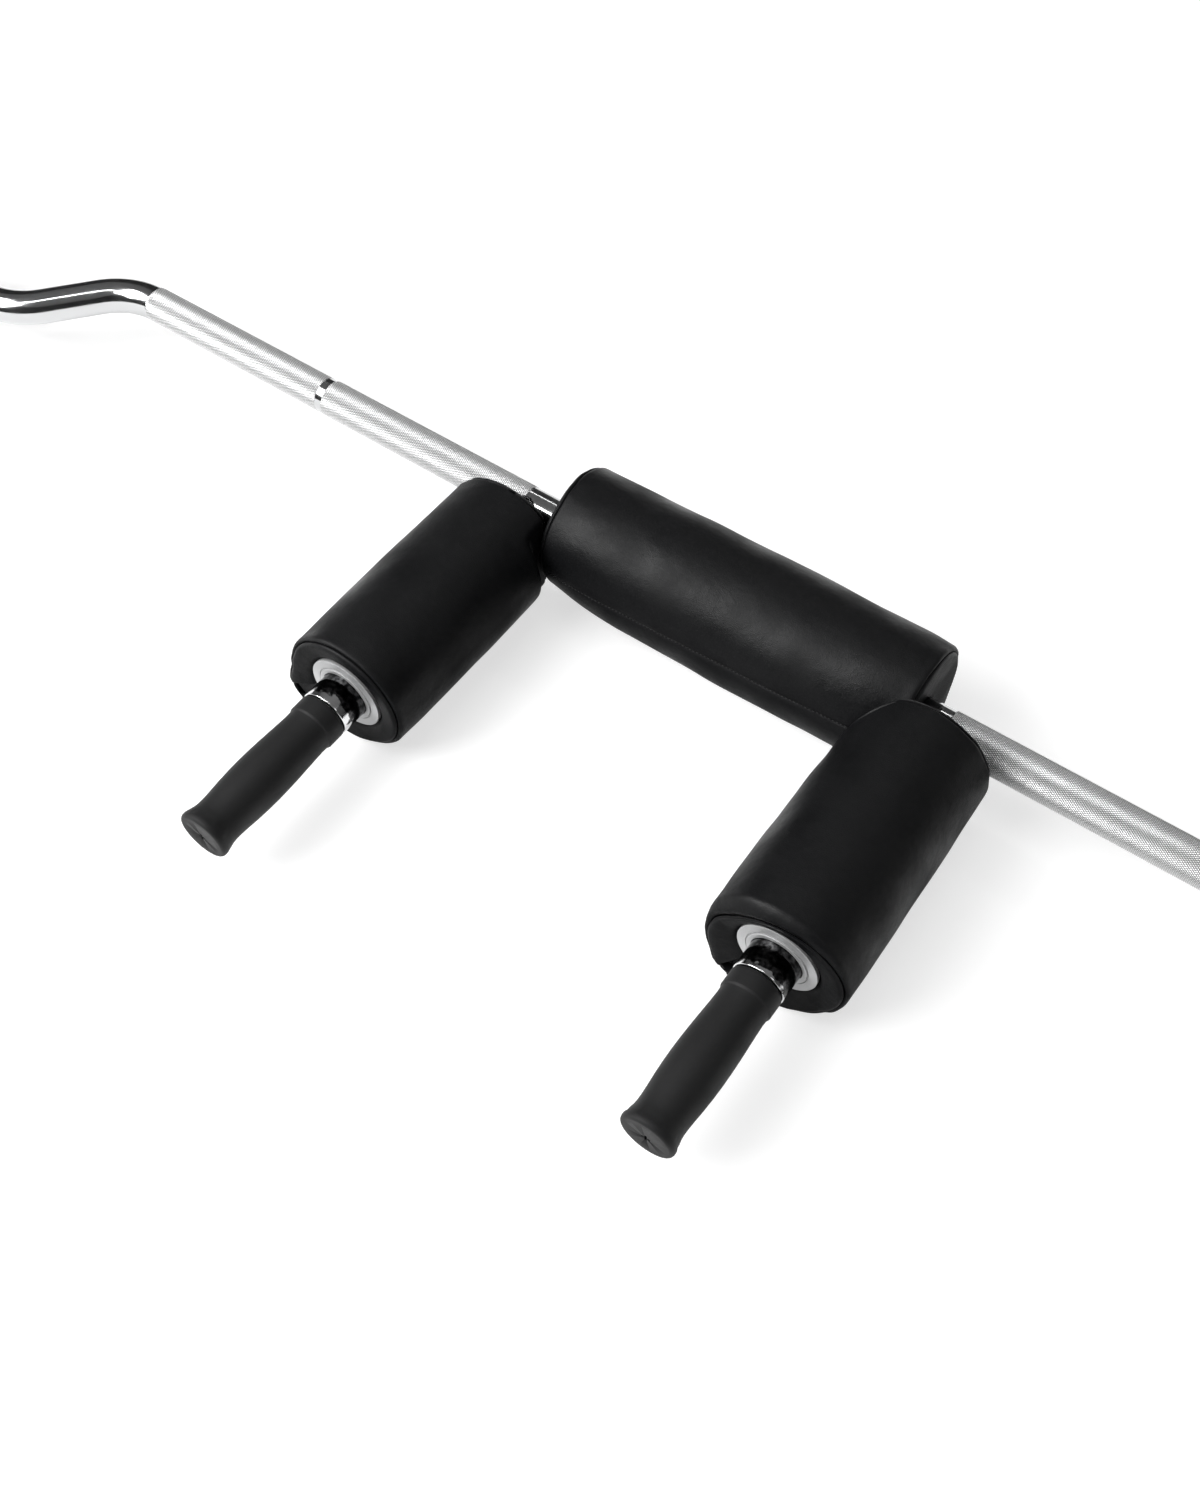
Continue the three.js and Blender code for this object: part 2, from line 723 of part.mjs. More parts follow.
for (const [name, side] of [['left', -1], ['right', 1]]) {
  const end = new THREE.Group();
  end.rotation.z = -side * Math.PI / 2;
  end.position.y = -forwardOffset;
  bar.add(end);
  const washerEnd = washerStart + washerThickness;
  const plainBush = makePlainRing(
    outerBushEnd - bushLength, outerBushEnd, bushBoreRadius, sleeveBoreRadius - seatGap,
  );
  addMesh(end, `${name}_sleeve_tube`, makeSleeveTube(), chrome);
  addMesh(end, `${name}_sleeve_collar`, makeCollar(), chrome);
  addMesh(end, `${name}_inner_bush`, makeInnerBush(), bronze);
  addMesh(end, `${name}_outer_bush`, plainBush, bronze);
  addMesh(end, `${name}_thrust_washer`,
    makePlainRing(washerStart, washerEnd, bushBoreRadius, washerRadius), turnedSteel);
  addMesh(end, `${name}_snap_ring`, makeSnapRing(), springSteel);
  addMesh(end, `${name}_end_plug`, makeEndPlug(), chrome);
}

const model = new THREE.Group();
model.add(bar);

export default model;
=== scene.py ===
from math import acos, cos, exp, pi, radians, sin, sqrt

import bmesh
import bpy
import numpy as np
from mathutils import Matrix, Vector, noise


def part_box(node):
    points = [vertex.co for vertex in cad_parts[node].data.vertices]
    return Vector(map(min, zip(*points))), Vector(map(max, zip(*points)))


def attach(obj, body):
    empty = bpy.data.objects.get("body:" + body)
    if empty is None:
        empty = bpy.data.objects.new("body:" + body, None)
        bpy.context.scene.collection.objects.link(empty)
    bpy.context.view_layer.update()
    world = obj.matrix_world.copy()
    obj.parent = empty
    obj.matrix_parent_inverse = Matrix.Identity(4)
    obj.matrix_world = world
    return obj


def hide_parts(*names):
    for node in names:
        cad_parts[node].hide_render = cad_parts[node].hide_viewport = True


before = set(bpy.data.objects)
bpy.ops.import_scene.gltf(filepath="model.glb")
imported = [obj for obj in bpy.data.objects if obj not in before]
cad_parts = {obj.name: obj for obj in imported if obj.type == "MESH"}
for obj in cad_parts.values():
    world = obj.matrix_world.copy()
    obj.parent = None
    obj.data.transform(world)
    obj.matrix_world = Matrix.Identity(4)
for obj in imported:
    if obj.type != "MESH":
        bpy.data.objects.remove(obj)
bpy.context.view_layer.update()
scene = bpy.context.scene
mm = 0.001

# The camera stands to the right in front of the bar, a little over a metre from the neck pad, and
# looks down on it at 55 degrees. Its place and turn were found from the round discs and the
# straight shaft in the photograph.
camera_place = Vector((0.3652066, -0.6745096, 0.9776746))
picture_right = Vector((0.81337081, 0.58174488, 0.00091305))
picture_down = Vector((0.47972293, -0.66983860, -0.56672935))
look_along = Vector((-0.32908030, 0.46139912, -0.82390352))


def put(name, data):
    """A new object of the scene, with its mesh, lamp or camera."""
    fresh = bpy.data.objects.new(name, data)
    scene.collection.objects.link(fresh)
    return fresh


def set_place(thing, place, right, up, back):
    """Puts a camera or lamp at its place, looking away from back."""
    turn = Matrix((right, up, back)).transposed()
    thing.matrix_world = Matrix.Translation(place) @ turn.to_4x4()


camera_data = bpy.data.cameras.new("camera")
camera_data.sensor_width = 36
camera_data.lens = 39
camera = put("camera", camera_data)
set_place(camera, camera_place, picture_right, -picture_down, -look_along)
scene.camera = camera
scene.view_settings.view_transform = "Standard"

# The studio: a white floor that fades into the white surround, dim walls and a grey ceiling that
# only the metal sees, and soft boxes, whose long bright shapes run along the chrome.
floor_reach = 9
floor_white = 0.86
floor_shown = 0.56
floor_lift = 0.66
fade_start, fade_end = 1.3, 3.6
room_height = 4.0
room_reach = 4.4
room_grey = 0.16
ceiling_glow = 0.1


def set_sockets(made, node, sockets):
    """Sets a node's sockets: each takes a value, or the output of another node."""
    for socket, value in sockets.items():
        if isinstance(value, bpy.types.NodeSocket):
            made.node_tree.links.new(value, node.inputs[socket])
        else:
            node.inputs[socket].default_value = value


def add_node(made, kind, sockets, **settings):
    """Adds a node to a material and returns its outputs."""
    node = made.node_tree.nodes.new("ShaderNode" + kind)
    for setting, value in settings.items():
        setattr(node, setting, value)
    set_sockets(made, node, sockets)
    return node.outputs


def set_shader(made, sockets):
    """Sets sockets of the material's own shader."""
    set_sockets(made, made.node_tree.nodes["Principled BSDF"], sockets)


def finish(name, colour, roughness, metallic=0.0):
    """A new material with its main colour, roughness and share of metal."""
    made = bpy.data.materials.new(name)
    made.use_nodes = True
    set_shader(made, {"Base Color": (*colour, 1), "Roughness": roughness, "Metallic": metallic})
    return made


def spread(made, source, low, high, start=0.0, end=1.0):
    """Turns a signal from start to end into a range of values."""
    return add_node(made, "MapRange", {"Value": source, "From Min": start, "From Max": end,
                                       "To Min": low, "To Max": high})["Result"]


def shown_ray(made):
    """1 for what the camera sees, straight or through metal and glass."""
    ray = add_node(made, "LightPath", {})
    either = add_node(made, "Math", {0: ray["Is Camera Ray"], 1: ray["Is Glossy Ray"]},
                      operation="MAXIMUM")["Value"]
    return add_node(made, "Math", {0: either, 1: ray["Is Transmission Ray"]},
                    operation="MAXIMUM")["Value"]


def stage_sheets(name, corners, quads):
    """Flat sheets of the studio, which aren't part of the bar."""
    sheet_mesh = bpy.data.meshes.new(name)
    sheet_mesh.from_pydata(corners, [], quads)
    sheet = put(name, sheet_mesh)
    return sheet


def square(reach, height):
    """The corners of a level square round the bar."""
    return [(-reach, -reach, height), (reach, -reach, height),
            (reach, reach, height), (-reach, reach, height)]


floor = stage_sheets("floor", square(floor_reach, 0), [(0, 1, 2, 3)])
white_floor = finish("white_floor", (1, 1, 1), 1)
white_floor.node_tree.nodes.clear()
seen = shown_ray(white_floor)
place = add_node(white_floor, "TexCoord", {})["Object"]
far_off = add_node(white_floor, "VectorMath", {0: place}, operation="LENGTH")["Value"]
lift = spread(white_floor, far_off, floor_lift, 1, fade_start, fade_end)
lift = add_node(white_floor, "Math", {0: seen, 1: lift}, operation="MULTIPLY")["Value"]
glow = add_node(white_floor, "Emission", {"Strength": lift})["Emission"]
shade = spread(white_floor, seen, floor_white, floor_shown)
matt = add_node(white_floor, "BsdfDiffuse", {"Color": shade})["BSDF"]
both = add_node(white_floor, "AddShader", {0: matt, 1: glow})["Shader"]
add_node(white_floor, "OutputMaterial", {"Surface": both})
floor.data.materials.append(white_floor)

room = stage_sheets(
    "dim_room", square(room_reach, 0.01) + square(room_reach, room_height),
    [(4, 5, 6, 7), (0, 1, 5, 4), (1, 2, 6, 5), (2, 3, 7, 6), (3, 0, 4, 7)],
)
for wall_name, glow in (("dim_walls", 0), ("grey_ceiling", ceiling_glow)):
    wall_paint = finish(wall_name, (room_grey, room_grey, room_grey), 0.9)
    set_shader(wall_paint, {"Emission Color": (1, 1, 1, 1), "Emission Strength": glow})
    room.data.materials.append(wall_paint)
room.data.polygons[0].material_index = 1
room.visible_camera = False

world = bpy.data.worlds.new("white_surround")
scene.world = world
world.use_nodes = True
world.node_tree.nodes["Background"].inputs["Color"].default_value = (1, 1, 1, 1)

soft_boxes = [
    ("front_box", (-1.45, -1.5, 1.8), (0.72, -0.69, 0), 1.9, 1.5, 95),
    ("overhead_strip", (-0.35, -0.6, 2.6), (0.643, 0.766, 0), 2.6, 0.12, 15),
    ("side_box", (2.4, 0.2, 2.4), (0, 1, 0), 1.2, 0.8, 6),
    ("back_strip", (-0.3, 2.0, 2.3), (1, 0, 0), 3.4, 0.12, 7),
]
for name, place, long_side, width, height, power in soft_boxes:
    lamp_data = bpy.data.lights.new(name, "AREA")
    lamp_data.shape = "RECTANGLE"
    lamp_data.size, lamp_data.size_y = width, height
    lamp_data.energy = power
    back = Vector(place).normalized()
    up = back.cross(Vector(long_side)).normalized()
    set_place(put(name, lamp_data), place, up.cross(back), up, back)

# The shaft is one steel bar, rolled with a diamond knurl in bands, bent forward at both ends,
# turned down there for the sleeves, and chromed all over. It carries everything else.
axis_height = 51 * mm
knurl_radius = 15 * mm
outer_knurl_radius = 14.8 * mm
smooth_radius = 14.6 * mm
knurl_start = 183 * mm
knurl_rise = 0.30 * mm
knurl_row = 1.3 * mm
knurl_metal = 0.7
diamonds_round = 60
ring_mark_start, ring_mark_end = 383.5 * mm, 390.5 * mm
mark_radius, mark_side = knurl_radius - 0.5 * mm, 0.3 * mm
bend_start = 580 * mm
bend_radius = 61 * mm
bend_angle = radians(50)
bend_steps = 48
forward_offset = 80 * mm
bend_arc = bend_radius * bend_angle
slope_run = (forward_offset - 2 * bend_radius * (1 - cos(bend_angle))) / sin(bend_angle)
shoulder_start, shoulder_face = 734.017 * mm, 742.017 * mm
spindle_radius = 12.5 * mm
shoulder_bevel, spindle_bevel = 0.6 * mm, 1 * mm
groove_radius = 11.1 * mm
groove_start, groove_end = 1080.417 * mm, 1082.817 * mm
spindle_end = 1088.817 * mm


def noise_at(made, scale, detail=3.0, stretch=(1, 1, 1)):
    """Soft random blotches in the piece's own metres, stretched along its axes."""
    place = add_node(made, "TexCoord", {})["Object"]
    place = add_node(made, "Mapping", {"Vector": place, "Scale": stretch})["Vector"]
    return add_node(made, "TexNoise", {"Vector": place, "Scale": scale, "Detail": detail})["Fac"]


def tint(made, source, dark, light):
    """Turns a 0 to 1 signal into a colour between two colours."""
    return add_node(made, "Mix", {"Factor": source, "A": (*dark, 1), "B": (*light, 1)},
                    data_type="RGBA")["Result"]


def relief(made, source, depth, under=None):
    """A bump of that real depth, on top of another bump where one is given."""
    sockets = {"Height": source, "Strength": 1, "Distance": depth}
    if under is not None:
        sockets["Normal"] = under
    return add_node(made, "Bump", sockets)["Normal"]


def gloss(made, scale, low, high, detail=3, start=0.3, end=0.7):
    """Uneven gloss: roughness from low to high in soft blotches."""
    spots = noise_at(made, scale, detail)
    set_shader(made, {"Roughness": spread(made, spots, low, high, start, end)})


def chrome_finish(name, colour, low, high, ripple, ripples=90):
    """Bright plating: faint smears in its gloss, and a ripple that bends what it mirrors."""
    made = finish(name, colour, low, 1)
    gloss(made, 60, low, high, 4, 0.35, 0.7)
    waves = relief(made, noise_at(made, ripples, 1), ripple)
    pits = relief(made, noise_at(made, 2600, 2), 0.004 * mm, waves)
    set_shader(made, {"Normal": pits})
    return made


mirror_chrome = chrome_finish("mirror_chrome", (0.56, 0.565, 0.57), 0.10, 0.18, 0.03 * mm)
knurl_chrome = chrome_finish("knurl_chrome", (0.60, 0.605, 0.61), 0.36, 0.46, 0.0)
# The knurl's colour follows the diamonds: the grooves are painted dark, as painted shade between
# them, and the tops are painted white.
tops = add_node(knurl_chrome, "Attribute", {}, attribute_name="diamond_tops")["Fac"]
ridges = spread(knurl_chrome, tops, 0, 1, 0.1, 0.6)
ridges = tint(knurl_chrome, ridges, (0.14, 0.142, 0.145), (1.0, 1.0, 1.0))
set_shader(knurl_chrome, {"Metallic": knurl_metal, "Base Color": ridges})


def turn_outward(shell_mesh):
    """Turns the faces of a closed mesh outward."""
    shell = bmesh.new()
    shell.from_mesh(shell_mesh)
    bmesh.ops.recalc_face_normals(shell, faces=shell.faces)
    shell.to_mesh(shell_mesh)
    shell.free()


def add_piece(name, points, faces, finishes, nodes=(), sharp=60, body="bar",
              finish_of_face=None):
    """A mesh piece of the bar that rides on a body and stands for the named solids."""
    piece_mesh = bpy.data.meshes.new(name)
    piece_mesh.from_pydata([tuple(p) for p in points], [], faces)
    for made in finishes:
        piece_mesh.materials.append(made)
    if finish_of_face is not None:
        piece_mesh.polygons.foreach_set("material_index", finish_of_face)
    turn_outward(piece_mesh)
    piece_mesh.shade_smooth()
    piece_mesh.set_sharp_from_angle(angle=radians(sharp))
    piece = put(name, piece_mesh)
    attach(piece, body)
    if nodes:
        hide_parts(*nodes)
    return piece


def ring_faces(rings, around, start=0, looped=False, closed=True):
    """Faces between rings of points: looped joins the last to the first, not closed is a sheet."""
    faces = []
    for i in range(rings if looped else rings - 1):
        here, after = start + i * around, start + (i + 1) % rings * around
        for k in range(around if closed else around - 1):
            n = (k + 1) % around
            faces.append((here + k, here + n, after + n, after + k))
    return faces


def end_faces(rings, around, start=0):
    """The two faces that close a row of rings."""
    return [tuple(first + k for k in range(around))
            for first in (start, start + (rings - 1) * around)]


def shaft_line(distance):
    """Where the shaft's centre line is, and which way it runs, that far from the middle."""
    left = max(distance - bend_start, 0)
    first = min(left, bend_arc) / bend_radius
    left = max(left - bend_arc, 0)
    along = min(left, slope_run)
    left = max(left - slope_run, 0)
    second = min(left, bend_arc) / bend_radius
    x = min(distance, bend_start) + bend_radius * sin(first) + along * cos(bend_angle)
    y = 0.0 - bend_radius * (1 - cos(first)) - along * sin(bend_angle)
    x += bend_radius * (sin(bend_angle) - sin(bend_angle - second))
    y -= bend_radius * (cos(bend_angle - second) - cos(bend_angle))
    return x + max(left - bend_arc, 0), y, first - second


def knurl_rings(start, end, radius):
    """Rows of diamonds from one place to another."""
    rows = int((end - start) / knurl_row)
    return [(start + i * knurl_row, radius, True) for i in range(rows + 1)]


def shaft_stations():
    """[distance from the middle, radius, knurled or not] for half of the shaft."""
    bent = 2 * bend_arc + slope_run
    spare = bend_start + bent - shaft_line(bend_start + bent)[0]
    smooth = [(0, smooth_radius), (knurl_start - (knurl_radius - smooth_radius), smooth_radius)]
    mark = [(ring_mark_start + mark_side, mark_radius), (ring_mark_end - mark_side, mark_radius)]
    beyond = [(bend_start + 0.4 * mm, smooth_radius)]
    beyond += [(bend_start + bent * i / bend_steps, smooth_radius)
               for i in range(1, bend_steps + 1)]
    beyond += [(place + spare, radius) for place, radius in (
        (shoulder_start, smooth_radius), (shoulder_start + 0.3 * mm, knurl_radius),
        (shoulder_face - shoulder_bevel, knurl_radius),
        (shoulder_face, knurl_radius - shoulder_bevel),
        (shoulder_face, spindle_radius), (groove_start, spindle_radius),
        (groove_start, groove_radius), (groove_end, groove_radius),
        (groove_end, spindle_radius), (spindle_end - spindle_bevel, spindle_radius),
        (spindle_end, spindle_radius - spindle_bevel),
    )]
    smooth, mark, beyond = ([(*s, False) for s in part] for part in (smooth, mark, beyond))
    return (smooth + knurl_rings(knurl_start, ring_mark_start, knurl_radius)
            + mark + knurl_rings(ring_mark_end, bend_start, outer_knurl_radius) + beyond)


def make_shaft():
    """The shaft's points, faces, which finish each face has, and which points are tops."""
    columns = 2 * diamonds_round
    half = shaft_stations()
    rings = [(-1, *s) for s in reversed(half[1:])] + [(1, *s) for s in half]
    points, tops, faces, finish_of_face = [], [], [], []
    for number, (side, distance, radius, is_knurl) in enumerate(rings):
        x, y, turned_by = shaft_line(distance)
        across = Vector((sin(turned_by) * side, cos(turned_by), 0))
        for column in range(columns):
            angle = column * 2 * pi / columns
            low = is_knurl and (number + column) % 2 == 0
            reach = radius - (knurl_rise if low else 0)
            tops.append(0.0 if low else 1.0)
            point = Vector((x * side, y, axis_height)) + across * (reach * cos(angle))
            point.z += reach * sin(angle)
            points.append(point)
    for number, (a, b, d, c) in enumerate(ring_faces(len(rings), columns)):
        i, j = divmod(number, columns)
        if not (rings[i][3] and rings[i + 1][3]):
            faces.append((a, b, d, c))
            finish_of_face.append(0)
            continue
        faces += [(a, b, d), (a, d, c)] if (i + j) % 2 == 0 else [(a, b, c), (b, d, c)]
        finish_of_face += [1, 1]
    faces += end_faces(len(rings), columns)
    return points, faces, finish_of_face + [0, 0], tops


shaft_points, shaft_faces, shaft_finishes, diamond_tops = make_shaft()
shaft = add_piece(
    "chromed_shaft", shaft_points, shaft_faces, [mirror_chrome, knurl_chrome],
    ["shaft"], 20, finish_of_face=shaft_finishes,
)
shaft.data.attributes.new("diamond_tops", "FLOAT", "POINT").data.foreach_set("value", diamond_tops)

# Each handle is a chromed steel tube, cut to sit round the shaft and welded there. A turned spigot
# is pressed into its front end to carry the grip.
side_of = {"left": -1, "right": 1}
handle_x = 180 * mm
tube_radius, tube_bore = 19 * mm, 16 * mm
tube_end = 243.5 * mm
stop_face, stop_radius, stop_thickness = 221 * mm, 30 * mm, 3 * mm
hub_radius, hub_length = 22.6 * mm, 0.7 * mm
drawn_radius, neck_end, full_start = 14.2 * mm, 20 * mm, 31 * mm
saddle_gap, saddle_sink = 0.3 * mm, 3 * mm
bead_radius, bead_steps, bead_sides = 1.5 * mm, 288, 12
bead_ripples, ripple_share, bead_height = 36, 0.13, 14.1 * mm
disc_bore = 19.3 * mm
ridge_pitch, ridge_depth = 0.35 * mm, 0.012 * mm
hub_groove = 0.8 * mm
spigot_start, spigot_end = 205.5 * mm, 361.5 * mm
spigot_bore, spigot_radius, spigot_root = 8 * mm, 11 * mm, 15.7 * mm


def softened(outline, radius, steps=4):
    """Rounds the corners of an outline, each with a short curve no larger than its sides allow."""
    line = [Vector(p) for p in outline]
    made = []
    for i, corner in enumerate(line):
        before, after = line[i - 1] - corner, line[(i + 1) % len(line)] - corner
        if corner.y == 0 or before.angle(after) > radians(165):
            made.append(corner)
            continue
        reach = min(radius, 0.45 * before.length, 0.45 * after.length)
        start, end = corner + before.normalized() * reach, corner + after.normalized() * reach
        beside = 0.3 * mm
        if before.length > 8 * mm:
            made.append(start + before.normalized() * beside)
        for k in range(steps + 1):
            t = k / steps
            made.append(start * (1 - t) ** 2 + corner * 2 * t * (1 - t) + end * t ** 2)
        if after.length > 8 * mm:
            made.append(end + after.normalized() * beside)
    return made


def turned_piece(hand, part, node, outline, origin, along, made, slot, body="bar", sides=128,
                 round_off=0.3 * mm, shape=None, sharp=35):
    """A left or right part, turned on a lathe round its outline of [place along, radius]."""
    turn = Vector((0, 0, 1)).rotation_difference(Vector(along)).to_matrix()
    points, faces, rings = [], [], []
    for place, radius in softened(outline, round_off):
        count = sides if radius > 0 else 1
        rings.append([len(points) + j for j in range(count)])
        for j in range(count):
            angle = 2 * pi * j / sides
            reach, ahead = (radius, place) if shape is None else shape(place, radius, angle)
            spot = Vector((reach * cos(angle), reach * sin(angle), ahead))
            points.append(Vector(origin) + turn @ spot)
    for i, ring in enumerate(rings):
        after = rings[(i + 1) % len(rings)]
        if len(ring) == 1 and len(after) == 1:
            continue
        for j in range(sides):
            k = (j + 1) % sides
            if len(ring) == 1:
                faces.append((ring[0], after[k], after[j]))
            elif len(after) == 1:
                faces.append((ring[j], ring[k], after[0]))
            else:
                faces.append((ring[j], ring[k], after[k], after[j]))
    return add_piece(f"{hand}_{part}", points, faces, [made], [f"{hand}_{node}"], sharp, body)


def mottle(made, scale, detail, dark, light):
    """Uneven colour: soft blotches between two colours."""
    set_shader(made, {"Base Color": tint(made, noise_at(made, scale, detail), dark, light)})


def grain(made, scale, detail, depth):
    """A fine random bump all over."""
    set_shader(made, {"Normal": relief(made, noise_at(made, scale, detail), depth)})


turned_steel = finish("turned_steel", (0.62, 0.625, 0.63), 0.24, 0.45)
lay_of_cut = add_node(turned_steel, "Tangent", {}, direction_type="RADIAL", axis="Y")["Tangent"]
set_shader(turned_steel, {"Anisotropic": 0.75, "Tangent": lay_of_cut})
mottle(turned_steel, 45, 3, (0.44, 0.443, 0.447), (0.54, 0.543, 0.547))
gloss(turned_steel, 900, 0.38, 0.46)
grain(turned_steel, 3200, 2, 0.004 * mm)


def chrome_with_painted_pad_reflection(name, edge):
    """Plating painted dark up to a ragged line near the grip: the painted reflection of the black
    pad.
    """
    made = chrome_finish(name, (0.6, 0.605, 0.61), 0.06, 0.22, 0.05 * mm, 260)
    place = add_node(made, "TexCoord", {})["Object"]
    place = add_node(made, "SeparateXYZ", {"Vector": place})["Y"]
    ragged = spread(made, noise_at(made, 130, 5), -5 * mm, 5 * mm, 0.25, 0.75)
    moved = add_node(made, "Math", {0: place, 1: ragged})["Value"]
    # Behind the ragged line the plating's colour is a mottled dark, the painted reflection of the
    # black pad.
    painted_reflection_share = spread(made, moved, 0, 1, -edge - 0.6 * mm, -edge + 0.8 * mm)
    painted_dark_reflection = spread(made, noise_at(made, 300, 5), 0, 1, 0.42, 0.72)
    painted_dark_reflection = tint(made, painted_dark_reflection, (0.012, 0.012, 0.0125), (0.14, 0.14, 0.142))
    colours = {"Factor": painted_reflection_share, "A": (0.72, 0.725, 0.73, 1), "B": painted_dark_reflection}
    colours = add_node(made, "Mix", colours, data_type="RGBA")["Result"]
    set_shader(made, {"Base Color": colours})
    return made


tube_finishes = {"left": chrome_with_painted_pad_reflection("left_tube_chrome", 238.2 * mm),
                 "right": chrome_with_painted_pad_reflection("right_tube_chrome", 240.6 * mm)}


def saddle_shape(place, radius, angle):
    """The tube's inner end is drawn in to the shaft's own width and follows its round."""
    if place > neck_end:
        return radius, place
    side = radius * sin(angle)
    gap = smooth_radius + saddle_gap
    return radius, place + max(0, sqrt(max(gap ** 2 - side ** 2, 0)) - saddle_sink)


def weld_bead(name, middle_x, made):
    """A rippled bead of weld along the line where a handle tube meets the shaft."""
    line = []
    for i in range(bead_steps):
        angle = 2 * pi * i / bead_steps
        height = bead_height * sin(angle)
        back = sqrt(max((smooth_radius + 0.5 * mm) ** 2 - height ** 2, 0))
        line.append(Vector((middle_x + drawn_radius * cos(angle), -back - 0.4 * mm,
                            axis_height + height)))
    points = []
    for i, spot in enumerate(line):
        way = (line[(i + 1) % bead_steps] - line[i - 1]).normalized()
        outward = (spot - Vector((middle_x, -40 * mm, axis_height))).normalized()
        across = way.cross(outward).normalized()
        outward = across.cross(way)
        ripple = 1 + ripple_share * sin(2 * pi * bead_ripples * i / bead_steps)
        for k in range(bead_sides):
            angle = 2 * pi * k / bead_sides
            points.append(spot + (across * cos(angle) + outward * sin(angle))
                          * (bead_radius * ripple))
    faces = ring_faces(bead_steps, bead_sides, looped=True)
    return add_piece(name, points, faces, [made])


def disc_outline():
    """A disc with a short hub where it is welded, and the fine ridges that turning leaves."""
    back = stop_face - stop_thickness
    outline = [(back, disc_bore), (back, stop_radius), (stop_face, stop_radius)]
    ridges = int((stop_radius - hub_radius - 2 * mm) / ridge_pitch)
    for i in range(ridges):
        radius = stop_radius - 0.8 * mm - i * ridge_pitch
        outline.append((stop_face - ridge_depth * (i % 2), radius))
    return outline + [(stop_face, hub_radius + 1.0 * mm),
                      (stop_face - hub_groove, hub_radius + 0.8 * mm),
                      (stop_face - hub_groove, hub_radius + 0.1 * mm),
                      (stop_face + hub_length, hub_radius), (stop_face + hub_length, disc_bore)]


for hand, side in side_of.items():
    origin, towards = (side * handle_x, 0, axis_height), (0, -1, 0)
    turned_piece(
        hand, "tube", "handle_tube",
        [(3 * mm, drawn_radius - 3 * mm), (3 * mm, drawn_radius), (neck_end, drawn_radius),
         (neck_end + 3 * mm, drawn_radius + 1.2 * mm),
         (full_start - 3 * mm, tube_radius - 1.2 * mm), (full_start, tube_radius),
         (tube_end, tube_radius), (tube_end, tube_bore), (full_start, tube_bore),
         (neck_end, drawn_radius - 3 * mm)],
        origin, towards, tube_finishes[hand], "chrome", round_off=0.8 * mm, shape=saddle_shape,
    )
    weld_bead(f"{hand}_handle_weld", side * handle_x, tube_finishes[hand])
    turned_piece(
        hand, "spigot", "handle_spigot",
        [(spigot_start, spigot_bore), (spigot_start, spigot_root), (tube_end, spigot_root),
         (tube_end, spigot_radius), (spigot_end, spigot_radius), (spigot_end, spigot_bore)],
        origin, towards, turned_steel, "turned_steel", sides=64, round_off=0.5 * mm,
    )
    turned_piece(hand, "disc", "pad_stop", disc_outline(), origin, towards, turned_steel,
                 "turned_steel", round_off=0.25 * mm, sharp=40)

# The rubber grips are moulded sleeves pushed over the spigots: a collar, a belly, a neck and a
# flared end with four short grooves round its back and a cross-shaped vent in its face.
grip_end = 367.8 * mm

grip_rubber = finish("grip_rubber", (0.011, 0.011, 0.0115), 0.62)
set_shader(grip_rubber, {"Specular IOR Level": 0.3})
mottle(grip_rubber, 35, 2, (0.0066, 0.0066, 0.0070), (0.0098, 0.0098, 0.0102))
gloss(grip_rubber, 50, 0.56, 0.67)
grain(grip_rubber, 1500, 2, 0.05 * mm)


def in_mm(places):
    """Places in metres that are given in millimetres."""
    return [tuple(value * mm for value in place) for place in places]


grip_outline = in_mm([
    (243.8, 11.3), (243.8, 17.4), (245.2, 18.8), (257.7, 18.8), (258.3, 18.5), (259.1, 17.8),
    (264, 17.65), (272, 17.9), (282, 18.4), (292, 18.9), (302, 19.2), (312, 19.3), (322, 19.1),
    (332, 18.6), (341, 17.9), (347, 17.55), (352, 17.5), (355.5, 17.8), (358.5, 18.5),
    (361, 19.2), (363, 19.65), (364.8, 19.75), (366.4, 19.4), (367.4, 18.5), (367.8, 17.3),
    (367.65, 15), (367.5, 0), (361.8, 0), (361.8, 11.3),
])
vent_arm, vent_half_width, vent_depth = 3.3 * mm, 0.85 * mm, 2.6 * mm
arc_place, arc_width, arc_depth = 361 * mm, 0.7 * mm, 0.5 * mm


def arc_grooves(place, radius, angle):
    """Four short grooves round the back of the flared end."""
    across = exp(-((place - arc_place) / arc_width) ** 2)
    along_arc = 0.5 + 0.5 * cos(4 * angle)
    share = min(1, max(0, (along_arc - 0.25) / 0.15))
    return radius - arc_depth * across * share, place


def cut_vent(grip, middle_x):
    """Cuts the small cross-shaped hole in the middle of a grip's end face."""
    a, w = vent_arm, vent_half_width
    cross = [(w, w), (w, a), (-w, a), (-w, w), (-a, w), (-a, -w),
             (-w, -w), (-w, -a), (w, -a), (w, -w), (a, -w), (a, w)]
    ends = (-grip_end + vent_depth, -grip_end - 2 * mm)
    corners = [(middle_x + x, y, axis_height + z) for y in ends for x, z in cross]
    punch_mesh = bpy.data.meshes.new("vent_punch")
    punch_mesh.from_pydata(corners, [], end_faces(2, len(cross)) + ring_faces(2, len(cross)))
    turn_outward(punch_mesh)
    punch = put("vent_punch", punch_mesh)
    cut = grip.modifiers.new("vent", "BOOLEAN")
    cut.operation = "DIFFERENCE"
    cut.object = punch
    now = bpy.context.evaluated_depsgraph_get()
    grip.data = bpy.data.meshes.new_from_object(grip.evaluated_get(now))
    grip.modifiers.clear()
    bpy.data.objects.remove(punch)


for hand, side in side_of.items():
    grip = turned_piece(
        hand, "rubber_grip", "grip", grip_outline, (side * handle_x, 0, axis_height), (0, -1, 0),
        grip_rubber, "grip_rubber", round_off=1.2 * mm, shape=arc_grooves, sharp=50,
    )
    cut_vent(grip, side * handle_x)

